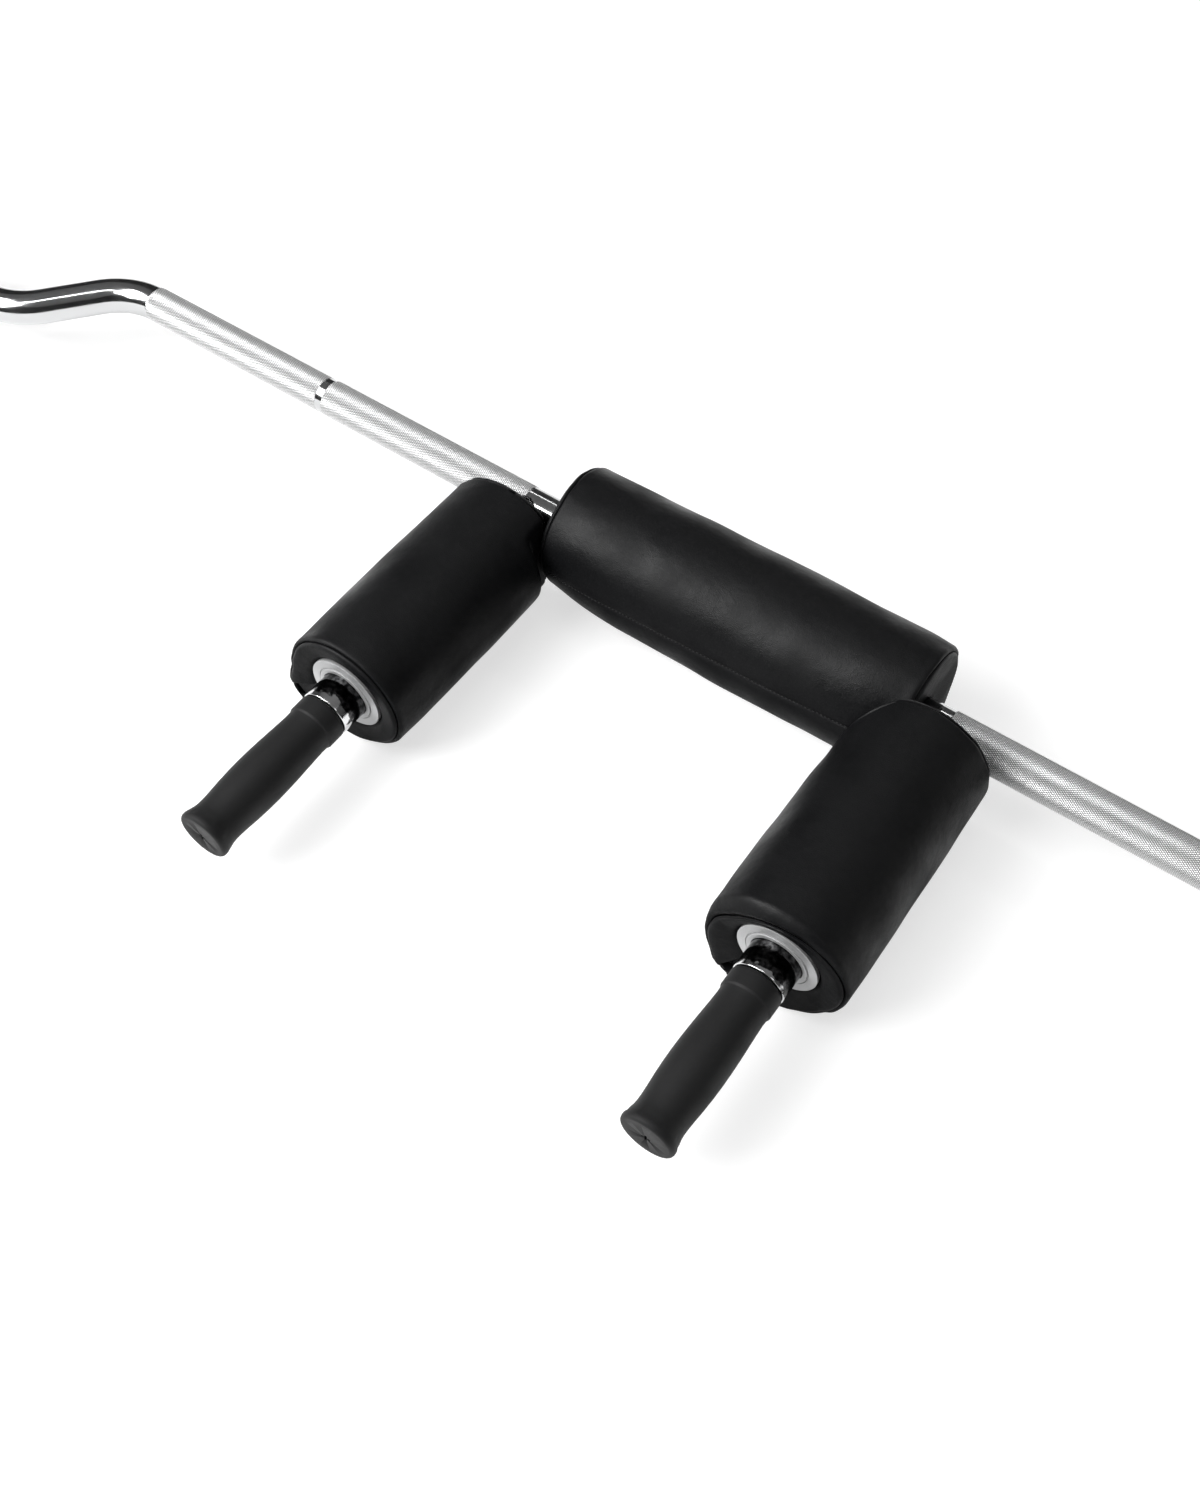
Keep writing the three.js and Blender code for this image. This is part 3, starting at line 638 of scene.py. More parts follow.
# The three pads are tubes of foam, split along their length, in leatherette covers. A cover is one
# long panel with a round end panel sewn to each side; all three are cut open at one corner, where
# the cover closes round the bar on hook and loop tape.
pad_radius = 51.5 * mm
pad_crown = 0.8 * mm
corner_reach = 62 * mm
corner_span = acos(pad_radius / corner_reach)
corner_softness = radians(2)
cover_thickness, edge_bulge = 1.8 * mm, 0.3
disc_panel = [(4.7, 19.9), (4.7, 24), (4.7, 28.4), (4.5, 30.1), (3.9, 31.3), (2.7, 32.3),
              (1.7, 33.8), (1.0, 36.2), (0.55, 39.2), (0.2, 42.2), (0.1, 44.6), (0.4, 46.0),
              (1.1, 46.9), (1.9, 47.3), (2.6, 47.15)]
plain_panel = [(1.7, None), (1.35, 21), (1.0, 26), (0.6, 31), (0.3, 36), (0.1, 41), (0.1, 44.6),
               (0.4, 46.0), (1.1, 46.9), (1.9, 47.3), (2.6, 47.15)]
puffed_panel = [(2.6, None), (2.0, 21), (1.3, 26), (0.7, 31), (0.25, 36), (0.0, 40), (0.15, 43.5),
                (0.8, 46.3), (1.8, 48.1), (2.9, 49.0), (3.8, 49.15), (4.4, 48.8)]
far_panel = [(2.6, None), (2.0, 21), (1.3, 26), (0.7, 31), (0.25, 36), (0.0, 40), (0.1, 43.5),
             (0.5, 46.3), (1.1, 48.2), (1.8, 49.1), (2.4, 49.3), (2.9, 48.9)]
side_rim = [(2.65, 47.95), (2.4, 48.7), (2.65, 49.5), (3.4, 50.25), (4.9, 50.7), (7.5, 50.75)]
puffed_rim = [(5.35, 48.9), (5.5, 49.7), (5.9, 50.3), (6.5, 50.6), (7.5, 50.75)]
far_rim = [(4.3, 48.9), (4.5, 49.8), (5.0, 50.4), (6.0, 50.7), (7.5, 50.75)]
near_seam = (3.5, 46.7)
near_disc_end, near_end = (disc_panel, near_seam, side_rim), (plain_panel, near_seam, side_rim)
puffed_end, far_end = (puffed_panel, (4.95, 47.9), puffed_rim), (far_panel, (3.6, 47.5), far_rim)
rim_depth = 7.5 * mm
floor_gap = 0.7 * mm
tab_start, tab_end = radians(4.66), radians(4.0)
seam_depth, seam_half_width = 0.9 * mm, 1.3 * mm
hollow_depth, hollow_half_width = 0.6 * mm, 7 * mm

shoulder_pad = {
    "across": Vector((1, 0, 0)), "along": Vector((0, 1, 0)), "start": -222.5 * mm,
    "bore": 19.5 * mm, "ends": (near_disc_end, far_end), "columns": 220, "rows": 52,
    "fill": 0.95, "on_handle": True,
}
pads = [
    {
        "name": "neck_pad", "origin": Vector((0, 0, axis_height)), "across": Vector((0, -1, 0)),
        "along": Vector((1, 0, 0)), "start": -142.3 * mm, "end": 162.9 * mm, "bore": 15.1 * mm,
        "corner": radians(-142), "slot": 5 * mm, "ends": (puffed_end, near_end),
        "columns": 264, "rows": 78, "fill": 0.95, "on_handle": False, "seed": 3,
        "front_push": [(0, 0), (70, 0), (105, 2.0), (150, 2.4), (190, 1.2), (220, 0), (360, 0)],
    },
    {
        **shoulder_pad, "name": "left_shoulder_pad", "end": -28 * mm, "seed": 11,
        "origin": Vector((-handle_x, 0, axis_height)), "corner": radians(-155.3), "slot": 12 * mm,
        "corner_sag": [(160, 0), (169, 0.8), (177, 2.1), (190, 5.1), (204.7, 13.4), (213, 12.8),
                       (221, 13.2), (229, 11.8), (240, 7.2), (250, 2.6), (262, 0)],
        "front_push": [(0, 0), (190, 0), (203, 1.6), (235, 2.4), (258, 1.8), (280, 1.3), (300, 0),
                       (360, 0)],
    },
    {
        **shoulder_pad, "name": "right_shoulder_pad", "end": -24.8 * mm, "seed": 23,
        "origin": Vector((handle_x, 0, axis_height)), "corner": radians(-131.5), "slot": 7 * mm,
        "corner_sag": [(168, 0), (180, 0.4), (190, 1.6), (207, 5.0), (219, 8.6), (228.5, 14.2),
                       (233, 10.8), (242, 4.6), (250, 1.0), (262, 0)],
        "seam_pull": [(5, 46.8), (28, 45.8), (50, 42.8), (66, 40.2), (80, 37.6), (95, 35.2),
                      (112, 33.6), (130, 33.0), (148, 34.8), (162, 38.4), (176, 43.0),
                      (190, 46.0), (205, 46.7), (230, 46.7)],
        "front_push": [(0, 0), (174, 0), (190, 1.8), (205, 2.8), (222, 3.0), (229, 3.4), (238, 6.0),
                       (250, 7.4), (270, 6.6), (290, 4.6), (306, 2.2), (320, 0), (360, 0)],
    },
]


def curve_through(stops, steps):
    """A smooth line through the stops, with that many short steps between two of them."""
    stops = np.array(stops, float)
    padded_stops = np.vstack([2 * stops[0] - stops[1], stops, 2 * stops[-1] - stops[-2]])
    made = []
    for i in range(1, len(padded_stops) - 2):
        p0, p1, p2, p3 = padded_stops[i - 1:i + 3]
        for k in range(steps):
            t = k / steps
            made.append(0.5 * (2 * p1 + (p2 - p0) * t + (2 * p0 - 5 * p1 + 4 * p2 - p3) * t ** 2
                               + (3 * p1 - p0 - 3 * p2 + p3) * t ** 3))
    made.append(padded_stops[-2])
    return made


def pad_rows(pad):
    """[place along the axis, radius, how far the closing tab reaches] from end to end."""
    length = pad["end"] - pad["start"]
    ends = []
    for panel, seam, rim in pad["ends"]:
        stops = [(d * mm, (pad["bore"] if r is None else r * mm)) for d, r in panel]
        inner = curve_through(stops, 2)
        outer = curve_through(in_mm(rim), 2)
        rows = [(d, r, 0.0) for d, r in inner] + [(seam[0] * mm, seam[1] * mm, 0.0)]
        rows += [(d, r, min(1, i / 6)) for i, (d, r) in enumerate(outer)]
        ends.append(rows)
    made = [(pad["start"] + d, r, t) for d, r, t in ends[0]]
    run = length - 2 * rim_depth
    for i in range(1, pad["rows"]):
        share = i / pad["rows"]
        share -= 0.11 * sin(2 * pi * share)
        crown = 1 - (2 * share - 1) ** 2
        made.append((pad["start"] + rim_depth + share * run,
                     pad_radius - pad_crown * (1 - crown), 1.0))
    made += [(pad["end"] - d, r, t) for d, r, t in reversed(ends[1])]
    return np.array(made)


def corner_factor(pad, turn):
    """How far the round section is drawn out at an angle from its corner."""
    off = np.abs(np.arctan2(np.sin(turn), np.cos(turn)))
    off = np.sqrt(off ** 2 + corner_softness ** 2)
    if "corner_sag" not in pad:
        return np.where(off < corner_span, 1 / np.cos(np.clip(corner_span - off, 0, None)), 1.0)
    degrees, sags = zip(*pad["corner_sag"])
    around = np.degrees(pad["corner"] + turn) % 360
    sag = sum(np.interp(around + shift, degrees, sags) for shift in (-2.4, -0.8, 0.8, 2.4)) / 4
    return 1 + sag * mm / pad_radius


def eased(value, start, end):
    """0 before start, 1 after end, and a smooth rise between them."""
    t = np.clip((value - start) / (end - start), 0, 1)
    return t * t * (3 - 2 * t)


def swell(value, middle, width):
    """1 in the middle, fading out over a width to each side."""
    return np.exp(-((value - middle) / width) ** 2)


def turned_to(angle, middle):
    """1 towards an angle in degrees, fading to 0 a quarter of the way round from it."""
    return np.clip(np.cos(angle - radians(middle)), 0, None) ** 2


def seam_angle(pad, along):
    """Where the neck pad's lengthwise seam runs; it slants a little from end to end."""
    share = (along - pad["start"]) / (pad["end"] - pad["start"])
    return np.radians(-2 + 18 * share)


def pad_girth(pad, along, angle):
    """How much fuller or slacker the foam sits under the cover than a true round."""
    share = (along - pad["start"]) / (pad["end"] - pad["start"])
    if pad["name"] == "neck_pad":
        hang = np.cos(angle - radians(144))
        tucked = swell(along, pad["start"], 26 * mm) * turned_to(angle, -40)
        slim = 1.6 * swell(along, pad["end"], 14 * mm)
        full = 2.2 * swell(angle, radians(187), radians(20))
        full += 2.2 * swell(angle, radians(-173), radians(20))
        low = 0.9 * swell(share, 0.28, 0.2) - 2.3 * eased(share, 0.5, 0.9)
        full = full + low * turned_to(angle, -36)
        dent = np.exp(-((along - 152 * mm) / (24 * mm)) ** 2 - ((angle - 0.66) / 0.5) ** 2)
        return ((-0.4 + 2.6 * share - slim + full - 3.6 * dent) * mm
                + 1.6 * mm * hang - 5.0 * mm * tucked)
    if pad["name"] == "left_shoulder_pad":
        flare = 1.3 * swell(along, pad["start"], 11 * mm) * turned_to(angle, 215)
        tucked = swell(along, pad["end"], 26 * mm) + 1.3 * swell(along, pad["start"], 20 * mm)
        tucked = tucked * turned_to(angle, -40)
        return (-0.25 + 0.76 * np.cos(angle + radians(50)) + flare - tucked) * mm
    taper = (1.9 - 3.9 * share) * turned_to(angle, -10)
    return (1.45 - 1.65 * np.cos(angle + radians(11.5)) + taper) * mm


def lay_round(pad, along, reach, angle):
    """Points round a pad's axis, from their place along it, their distance and their angle."""
    across, axis, up = (np.array(v) for v in (pad["across"], pad["along"], (0, 0, 1)))
    reach, angle = np.broadcast_arrays(reach, angle)
    return (np.array(pad["origin"]) + (reach * np.cos(angle))[..., None] * across
            + (reach * np.sin(angle))[..., None] * up
            + (along * np.ones_like(angle))[..., None] * axis)


def pulled_seam(pad, row_along, radius, angle):
    """Row radii and places where a front seam is drawn in and the side bulges over it."""
    degrees, forward = zip(*pad["front_push"])
    push = np.interp(np.degrees(angle) % 360, degrees, forward) * mm
    push = push * eased(radius, 31 * mm, 44 * mm)
    fading = np.exp(-np.clip(row_along - pad["start"] - 4 * mm, 0, None) / (14 * mm))
    along = row_along - push * fading
    if "seam_pull" not in pad:
        return radius, along
    degrees, radii = zip(*pad["seam_pull"])
    drawn_in = np.interp(np.degrees(angle) % 360, degrees, radii, period=360) * mm
    seam, disc_edge, side = near_seam[1] * mm, 30.1 * mm, side_rim[-1][1] * mm
    front = row_along < pad["start"] + rim_depth - 0.01 * mm
    panel = disc_edge + (radius - disc_edge) * (drawn_in - disc_edge) / (seam - disc_edge)
    share = np.clip((radius - seam) / (side - seam), 0, 1)
    over = drawn_in + share * (side - drawn_in)
    moved = np.where(radius <= seam, panel, over)
    bulge = 3.4 * mm * (seam - drawn_in) / (11.5 * mm) * np.sin(pi * share)
    return (np.where(front & (radius > disc_edge), moved, radius),
            along - np.where(front, bulge, 0))


def pad_surface(pad):
    """The outside of a cover as a grid of points, rows along the axis and columns round it."""
    rows = pad_rows(pad)
    along, radius, tab = rows[:, :1], rows[:, 1:2], rows[:, 2:]
    fine = np.linspace(0, 1, 1501)
    low = (1 - tab) * np.arcsin(np.clip(pad["slot"] / radius, 0, 1))
    low += tab * tab_start
    high = 2 * pi + tab * tab_end
    turn = np.empty((len(rows), pad["columns"]))
    for i in range(len(rows)):
        spots = low[i] + (high[i] - low[i]) * fine
        near_corner = np.minimum(spots, 2 * pi - spots)
        density = 1 + 2.2 * swell(near_corner, 0, 0.24)
        if pad["name"] == "neck_pad":
            seam = seam_angle(pad, along[i]) - pad["corner"]
            density += 3 * swell(spots, seam, 0.05)
        total = np.concatenate([[0], np.cumsum((density[1:] + density[:-1]) / 2)])
        turn[i] = np.interp(np.linspace(0, 1, pad["columns"]), total / total[-1], spots)
    angle = pad["corner"] + turn
    drawn = eased(radius, 22 * mm, 45 * mm)
    row_radius, place = pulled_seam(pad, along, radius, angle)
    reach = row_radius * (1 + (corner_factor(pad, turn) - 1) * drawn)
    reach = reach + pad_girth(pad, along, angle) * eased(radius, 30 * mm, 50 * mm)
    if pad["name"] == "neck_pad":
        off = (angle - seam_angle(pad, along)) * pad_radius
        inside = eased(along, pad["start"] + 8 * mm, pad["start"] + 14 * mm)
        inside = inside * eased(-along, -pad["end"] + 8 * mm, -pad["end"] + 14 * mm)
        inside = inside * (0.25 + 0.75 * eased(along, -110 * mm, -50 * mm))
        reach = reach - inside * (seam_depth * swell(off, 0, seam_half_width)
                                  + hollow_depth * swell(off, 0, hollow_half_width))
    return lay_round(pad, place, reach, angle), along, radius, angle


def grid_normals(grid):
    """Outward directions of a grid's points."""
    down = np.gradient(grid, axis=0)
    side = np.gradient(grid, axis=1)
    out = np.cross(down, side)
    out /= np.maximum(np.linalg.norm(out, axis=2, keepdims=True), 1e-12)
    return out


def soft_noise(grid, scale, seed):
    shift = Vector((seed * 1.7, seed * 0.3, seed * 0.9))
    flat = grid.reshape(-1, 3)
    made = [noise.noise(Vector(p) * scale + shift) for p in flat]
    return np.array(made).reshape(grid.shape[:2])


def soft_excess(value, blend):
    """How far a value is above zero, with a rounded foot in place of a corner."""
    steps = value / blend
    return blend * np.where(steps > 30, steps, np.log1p(np.exp(np.clip(steps, -40, 30))))


def neck_front(grid, gap):
    """How far back points may lie before they meet the neck pad's front."""
    neck = pads[0]
    x, rise = grid[..., 0], grid[..., 2] - axis_height
    from_end = np.minimum(x - neck["start"], neck["end"] - x)
    soft = 6 * mm
    side = np.arcsin(np.clip(rise / pad_radius, -1, 1))
    full = pad_radius + 0.8 * mm + gap + pad_girth(neck, x, side)
    full = full - soft + np.sqrt(soft ** 2 - np.clip(soft - gap - from_end, 0, soft) ** 2)
    front = -np.sqrt(np.clip(full ** 2 - rise ** 2, 0, None))
    return np.where(from_end > -gap, front, 0)


def squeeze_beside_neck(pad, grid, gap):
    """Draws in the flank of a shoulder pad that lies beside the neck pad's left end."""
    flank = pads[0]["start"] - 0.8 * mm - gap - pad["origin"].x
    if flank < 0 or flank > pad_radius:
        return grid
    sideways, rise = grid[..., 0] - pad["origin"].x, grid[..., 2] - axis_height
    reach = np.hypot(sideways, rise)
    room = flank / np.maximum(sideways / reach, 0.3)
    tight = pad_radius - soft_excess(pad_radius - room, 1.0 * mm)
    hold = 20 * mm
    share = (tight - hold) / (pad_radius - hold)
    share = 1 - (1 - share) * eased(grid[..., 1], -58 * mm, -47 * mm)
    drawn = np.where(reach > hold, hold + (reach - hold) * share, reach) / reach
    grid[..., 0] = pad["origin"].x + sideways * drawn
    grid[..., 2] = axis_height + rise * drawn
    return grid


def fit_to_neck(pad, grid, along, radius, gap):
    """Shortens a shoulder pad where the neck pad is in its way, and keeps it all in front."""
    grid = squeeze_beside_neck(pad, grid, gap)
    last = int(np.argmax(along[:, 0] > pad["end"] - rim_depth - 0.01 * mm))
    short = np.clip(pad["end"] - 1.5 * mm - neck_front(grid[last], gap), 0, None)
    for _ in range(6):
        wide = np.pad(short, 1, "edge")
        short = (wide[:-2] + 2 * short + wide[2:]) / 4
    middle = pad["start"] + 0.4 * (pad["end"] - pad["start"])
    share = np.clip((along - middle) / (pad["end"] - rim_depth - middle), 0, 1) ** 2
    grid[..., 1] -= share * short[None, :] * eased(radius, 24 * mm, 47 * mm)
    grid[..., 1] -= soft_excess(grid[..., 1] - neck_front(grid, gap), 0.5 * mm)
    return grid


def rest_on_floor(grid, clearance):
    """Flattens what would hang below the floor."""
    grid[..., 2] = clearance + soft_excess(grid[..., 2] - clearance, 0.5 * mm)
    return grid


def add_sheet(name, grid, thickness, made, nodes=()):
    """A closed sheet of that thickness under a grid of points, with rounded edges."""
    rows, columns = grid.shape[:2]
    out = grid_normals(grid)
    for _ in range(3):
        out[1:-1] = (out[:-2] + 2 * out[1:-1] + out[2:]) / 4
    out /= np.linalg.norm(out, axis=2, keepdims=True)
    under = grid - out * thickness
    points = [*grid.reshape(-1, 3), *under.reshape(-1, 3)]
    faces = ring_faces(rows, columns, closed=False)
    lower = rows * columns
    faces += [tuple(reversed(f)) for f in ring_faces(rows, columns, lower, closed=False)]
    number = np.arange(lower).reshape(rows, columns)
    edge = [*number[0], *number[1:, -1], *number[-1, -2::-1], *number[-2:0:-1, 0]]
    first = len(points)
    for n, here in enumerate(edge):
        i, j = divmod(here, columns)
        if i in (0, rows - 1):
            inner = (1 if i == 0 else rows - 2, j)
        else:
            inner = (i, 1 if j == 0 else columns - 2)
        beyond = grid[i, j] - grid[inner]
        beyond = beyond / max(np.linalg.norm(beyond), 1e-9)
        points.append((grid[i, j] + under[i, j]) / 2 + beyond * thickness * edge_bulge)
        m = (n + 1) % len(edge)
        faces.append((edge[m], here, first + n, first + m))
        faces.append((first + m, first + n, lower + here, lower + edge[m]))
    return add_piece(name, points, faces, [made], nodes)


leatherette = finish("black_leatherette", (0.0045, 0.0047, 0.0052), 0.42)
# The leatherette's specular level follows which way it faces: the tops reflect at full strength and
# the sides, which face the white floor, far less, a painted shade on the sides.
upward = add_node(leatherette, "NewGeometry", {})["Normal"]
upward = add_node(leatherette, "SeparateXYZ", {"Vector": upward})["Z"]
set_shader(leatherette, {"Specular IOR Level": 0.2})
set_shader(leatherette, {"Specular IOR Level": spread(leatherette, upward, 0.03, 0.19, 0.08, 0.7)})
mottle(leatherette, 14, 3, (0.0036, 0.0037, 0.0041), (0.0056, 0.0058, 0.0064))
gloss(leatherette, 22, 0.34, 0.56, 4, 0.35, 0.65)
pebbles = {"Vector": add_node(leatherette, "TexCoord", {})["Object"], "Scale": 900}
pebbles = add_node(leatherette, "TexVoronoi", pebbles, feature="DISTANCE_TO_EDGE")["Distance"]
pebbles = relief(leatherette, spread(leatherette, pebbles, 0, 1, 0, 0.3), 0.06 * mm)
creases = relief(leatherette, noise_at(leatherette, 110, 5), 0.4 * mm, pebbles)
set_shader(leatherette, {"Normal": creases})

covers = {}
for pad in pads:
    grid, along, radius, angle = pad_surface(pad)
    out = grid_normals(grid)
    on_side = eased(radius, 45 * mm, 50 * mm)
    slack = soft_noise(grid, 21, pad["seed"]) * 0.9 * mm
    slack = slack + soft_noise(grid, 48, pad["seed"] + 5) * 0.3 * mm
    from_end = np.minimum(along - pad["start"], pad["end"] - along)
    gathers = soft_noise(grid, 95, pad["seed"] + 9)
    gathers = gathers * np.exp(-np.clip(from_end - 3 * mm, 0, None) / (9 * mm)) * 0.45 * mm
    grid = grid + out * ((slack + gathers) * on_side)[..., None]
    if pad["on_handle"]:
        grid = fit_to_neck(pad, grid, along, radius, 0.3 * mm)
    grid = rest_on_floor(grid, floor_gap)
    covers[pad["name"]] = (grid, along, angle - pad["corner"])
    cover = add_sheet(f"{pad['name']}_leatherette", grid, cover_thickness, leatherette,
                      [f"{pad['name']}_cover"])

# Inside each cover is a tube of closed-cell foam, slit along the corner so that it can be pushed
# over the bar. Its ends are a little rounded, and it is cut back where the closing tape lies.
foam_gap = 3.0 * mm
tape_recess = 7.6 * mm
tape_span = radians(26)
foam_end_gap = 5.6 * mm
foam_disc_gap = 7.3 * mm
foam_rows, foam_columns = 48, 120
half_slit = 0.75 * mm

foam_grey = finish("closed_cell_foam", (0.05, 0.05, 0.052), 0.9)
mottle(foam_grey, 60, 3, (0.040, 0.040, 0.042), (0.064, 0.064, 0.066))
gloss(foam_grey, 70, 0.84, 0.95)
cells = add_node(foam_grey, "TexVoronoi", {"Scale": 900})["Distance"]
set_shader(foam_grey, {"Normal": relief(foam_grey, cells, 0.12 * mm)})


def pad_layer(pad, along, turn, under):
    """A grid of points inside a cover, that far under its outside."""
    run = pad["end"] - pad["start"] - 2 * rim_depth
    share = np.clip((along - pad["start"] - rim_depth) / run, 0, 1)
    angle = pad["corner"] + turn
    reach = pad_radius - pad_crown * (2 * share - 1) ** 2
    reach = reach * corner_factor(pad, turn) + pad_girth(pad, along, angle) - under
    grid = lay_round(pad, along, reach, angle)
    if pad["on_handle"]:
        grid = fit_to_neck(pad, grid, along, 50 * mm, 0.6 * mm + float(np.max(under)))
    return rest_on_floor(grid, floor_gap + under)


for pad in pads:
    first_gap = foam_disc_gap if pad["on_handle"] else foam_end_gap
    low, high = pad["start"] + first_gap, pad["end"] - foam_end_gap
    steps = 0.5 - 0.5 * np.cos(np.linspace(0, pi, foam_rows))
    along = (low + (high - low) * steps)[:, None]
    slit = half_slit / pad_radius
    turn = np.linspace(slit, 2 * pi - slit, foam_columns)[None, :]
    rounding = 2.5 * mm * (1 - eased(np.minimum(along - low, high - along), 0, 5 * mm))
    under = foam_gap + (tape_recess - foam_gap) * (turn < tape_span) + rounding
    skin = pad_layer(pad, along, turn, under)
    half_turn = (pi - half_slit / pad["bore"]) * np.linspace(-1, 1, foam_columns)[None, :]
    bore = lay_round(pad, along, pad["bore"] + 0.5 * mm, pad["corner"] + (pi + half_turn))
    ring = np.concatenate([skin, bore[:, ::-1]], axis=1)
    around = 2 * foam_columns
    faces = ring_faces(foam_rows, around)
    for start in (0, (foam_rows - 1) * around):
        faces += [(start + j, start + j + 1, start + around - 2 - j, start + around - 1 - j)
                  for j in range(foam_columns - 1)]
    foam = add_piece(
        f"{pad['name']}_foam_core", ring.reshape(-1, 3), faces, [foam_grey],
        [f"{pad['name']}_foam"], 50,
    )

# Hook tape is sewn inside the closing edge of each cover, and loop tape on a flap that lies under
# it; pressed together they hold the cover shut round the foam. A dark strip of the same tape is set
# in the cut of one end panel, as painted shade inside the opening.
panel_inner = 34 * mm

tape_black = finish("hook_and_loop_tape", (0.012, 0.012, 0.013), 0.85)
mottle(tape_black, 500, 2, (0.008, 0.008, 0.009), (0.019, 0.019, 0.020))
gloss(tape_black, 400, 0.78, 0.92)
pile = add_node(tape_black, "TexVoronoi", {"Scale": 1400})["Distance"]
set_shader(tape_black, {"Normal": relief(tape_black, pile, 0.25 * mm)})

closing_parts = [
    ("hook_tape", 2.8 * mm, 1.1 * mm, 6, 24, tape_black, "hook_tape", "hook_strip"),
    ("loop_tape", 4.1 * mm, 1.1 * mm, 6, 24, tape_black, "hook_tape", "loop_strip"),
    ("closing_flap", 5.5 * mm, 1.4 * mm, 2, 25, leatherette, "leatherette", None),
]
for pad in pads:
    axis_number = 1 if pad["on_handle"] else 0
    for part, under, thickness, first, last, made, slot, node in closing_parts:
        low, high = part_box(f"{pad['name']}_hook_strip")
        spare = 0 if node else 1.5 * mm
        along = np.linspace(low[axis_number] - spare, high[axis_number] + spare, 90)[:, None]
        turn = np.radians(np.linspace(first, last, 16))[None, :]
        replaced = [f"{pad['name']}_{node}"] if node else []
        add_sheet(f"{pad['name']}_{part}", pad_layer(pad, along, turn, under), thickness, made,
                  replaced)

    # A dark sheet of tape across the cut in one end panel stands for the shade inside the opening:
    # painted shade.
    first = pad["start"] if pad["on_handle"] else pad["end"]
    inward = 1 if pad["on_handle"] else -1
    turn = np.radians(np.linspace(-5, 22, 22))[None, :]
    fuller = pad_girth(pad, first + inward * 5 * mm, pad["corner"] + turn)
    outer = pad_radius * corner_factor(pad, turn) + fuller - 2.6 * mm
    share = np.linspace(0, 1, 16)[:, None]
    reach = panel_inner + (outer - panel_inner) * share
    panel_turn = pad["corner"] + turn * np.ones_like(share)
    depth = first + inward * (4.7 + 0.5 * np.sin(5 * share + 3 * turn)) * mm
    sheet = rest_on_floor(lay_round(pad, depth, reach, panel_turn), 0.3 * mm)
    add_sheet(f"{pad['name']}_painted_shade_tape", sheet, 0.9 * mm, tape_black)

# A loose tongue of leatherette lies on the shaft at the neck pad's right end.
along = np.linspace(161.6 * mm, 173 * mm, 14)[:, None]
angle = np.radians(np.linspace(74, 106, 12))[None, :]
curl = 17.4 * mm + 1.5 * mm * eased(along, 160 * mm, 170 * mm) * np.cos(3 * (angle - 1.2))
tongue = lay_round(pads[0], along, curl, angle)
add_sheet("neck_pad_tongue", tongue, 1.7 * mm, leatherette)

# Black thread: two rows hold the hook tape near the closing edge, and one row runs in the neck
# pad's lengthwise seam. Each stitch is a short loop of thread that dives into the leatherette.
stitch_pitch, stitch_length, thread_radius = 3.1 * mm, 2.3 * mm, 0.3 * mm
stitch_shares, stitch_sides = (-1, -0.7, 0, 0.7, 1), 6
row_margin, stitch_arch = 14 * mm, 0.35 * mm
tape_rows = (radians(7.5), radians(23))

thread_black = finish("black_thread", (0.008, 0.008, 0.009), 0.6)
gloss(thread_black, 300, 0.52, 0.68)
grain(thread_black, 4000, 1, 0.03 * mm)


def stitches(name, middles, ways, outward):
    """Short arched capsules of thread at the given middles."""
    points, faces = [], []
    for middle, way, out in zip(middles, ways, outward):
        way, out = Vector(way).normalized(), Vector(out).normalized()
        side = way.cross(out)
        first = len(points)
        for share in stitch_shares:
            arch = stitch_arch * (1 - 1.6 * share * share)
            thick = thread_radius * sqrt(max(0.08, 1 - share ** 4))
            centre = Vector(middle) + way * (share * stitch_length / 2) + out * arch
            for k in range(stitch_sides):
                angle = 2 * pi * k / stitch_sides
                points.append(centre + side * (thick * cos(angle))
                              + out * (thick * sin(angle)))
        faces += ring_faces(len(stitch_shares), stitch_sides, first)
        faces += end_faces(len(stitch_shares), stitch_sides, first)
    return add_piece(name, points, faces, [thread_black])


def on_cover(pad, place, turn):
    """The point of a cover's outside at that place along it and that turn past its corner."""
    grid, along, turns = covers[pad["name"]]
    flat_rows = np.nonzero((along[:, 0] > pad["start"] + rim_depth)
                           & (along[:, 0] < pad["end"] - rim_depth))[0]
    i = flat_rows[0] + np.searchsorted(along[flat_rows, 0], place) - 1
    share = (place - along[i, 0]) / (along[i + 1, 0] - along[i, 0])
    near, far = (np.array([np.interp(turn, turns[row], grid[row, :, axis]) for axis in range(3)])
                 for row in (i, i + 1))
    return near * (1 - share) + far * share


for pad in pads:
    middles, ways, outward = [], [], []
    places = np.arange(pad["start"] + row_margin, pad["end"] - row_margin, stitch_pitch)
    rows = [np.full(len(places), row) for row in tape_rows]
    if not pad["on_handle"]:
        rows.append(seam_angle(pad, places) - pad["corner"])
    for turns in rows:
        line = np.array([on_cover(pad, a, t) for a, t in zip(places, turns)])
        centre = np.array(pad["origin"]) + places[:, None] * np.array(pad["along"])
        middles.extend(line)
        ways.extend(np.gradient(line, axis=0))
        outward.extend(line - centre)
    stitches(f"{pad['name']}_stitching", middles, ways, outward)

# The plate sleeves are steel tubes, chromed, each with a collar shrunk on at its inner end and a
# plug pressed into its outer end. They turn on the shaft's spindles.
sleeve_axis = (0, -forward_offset, axis_height)
sleeve_bore = 21 * mm

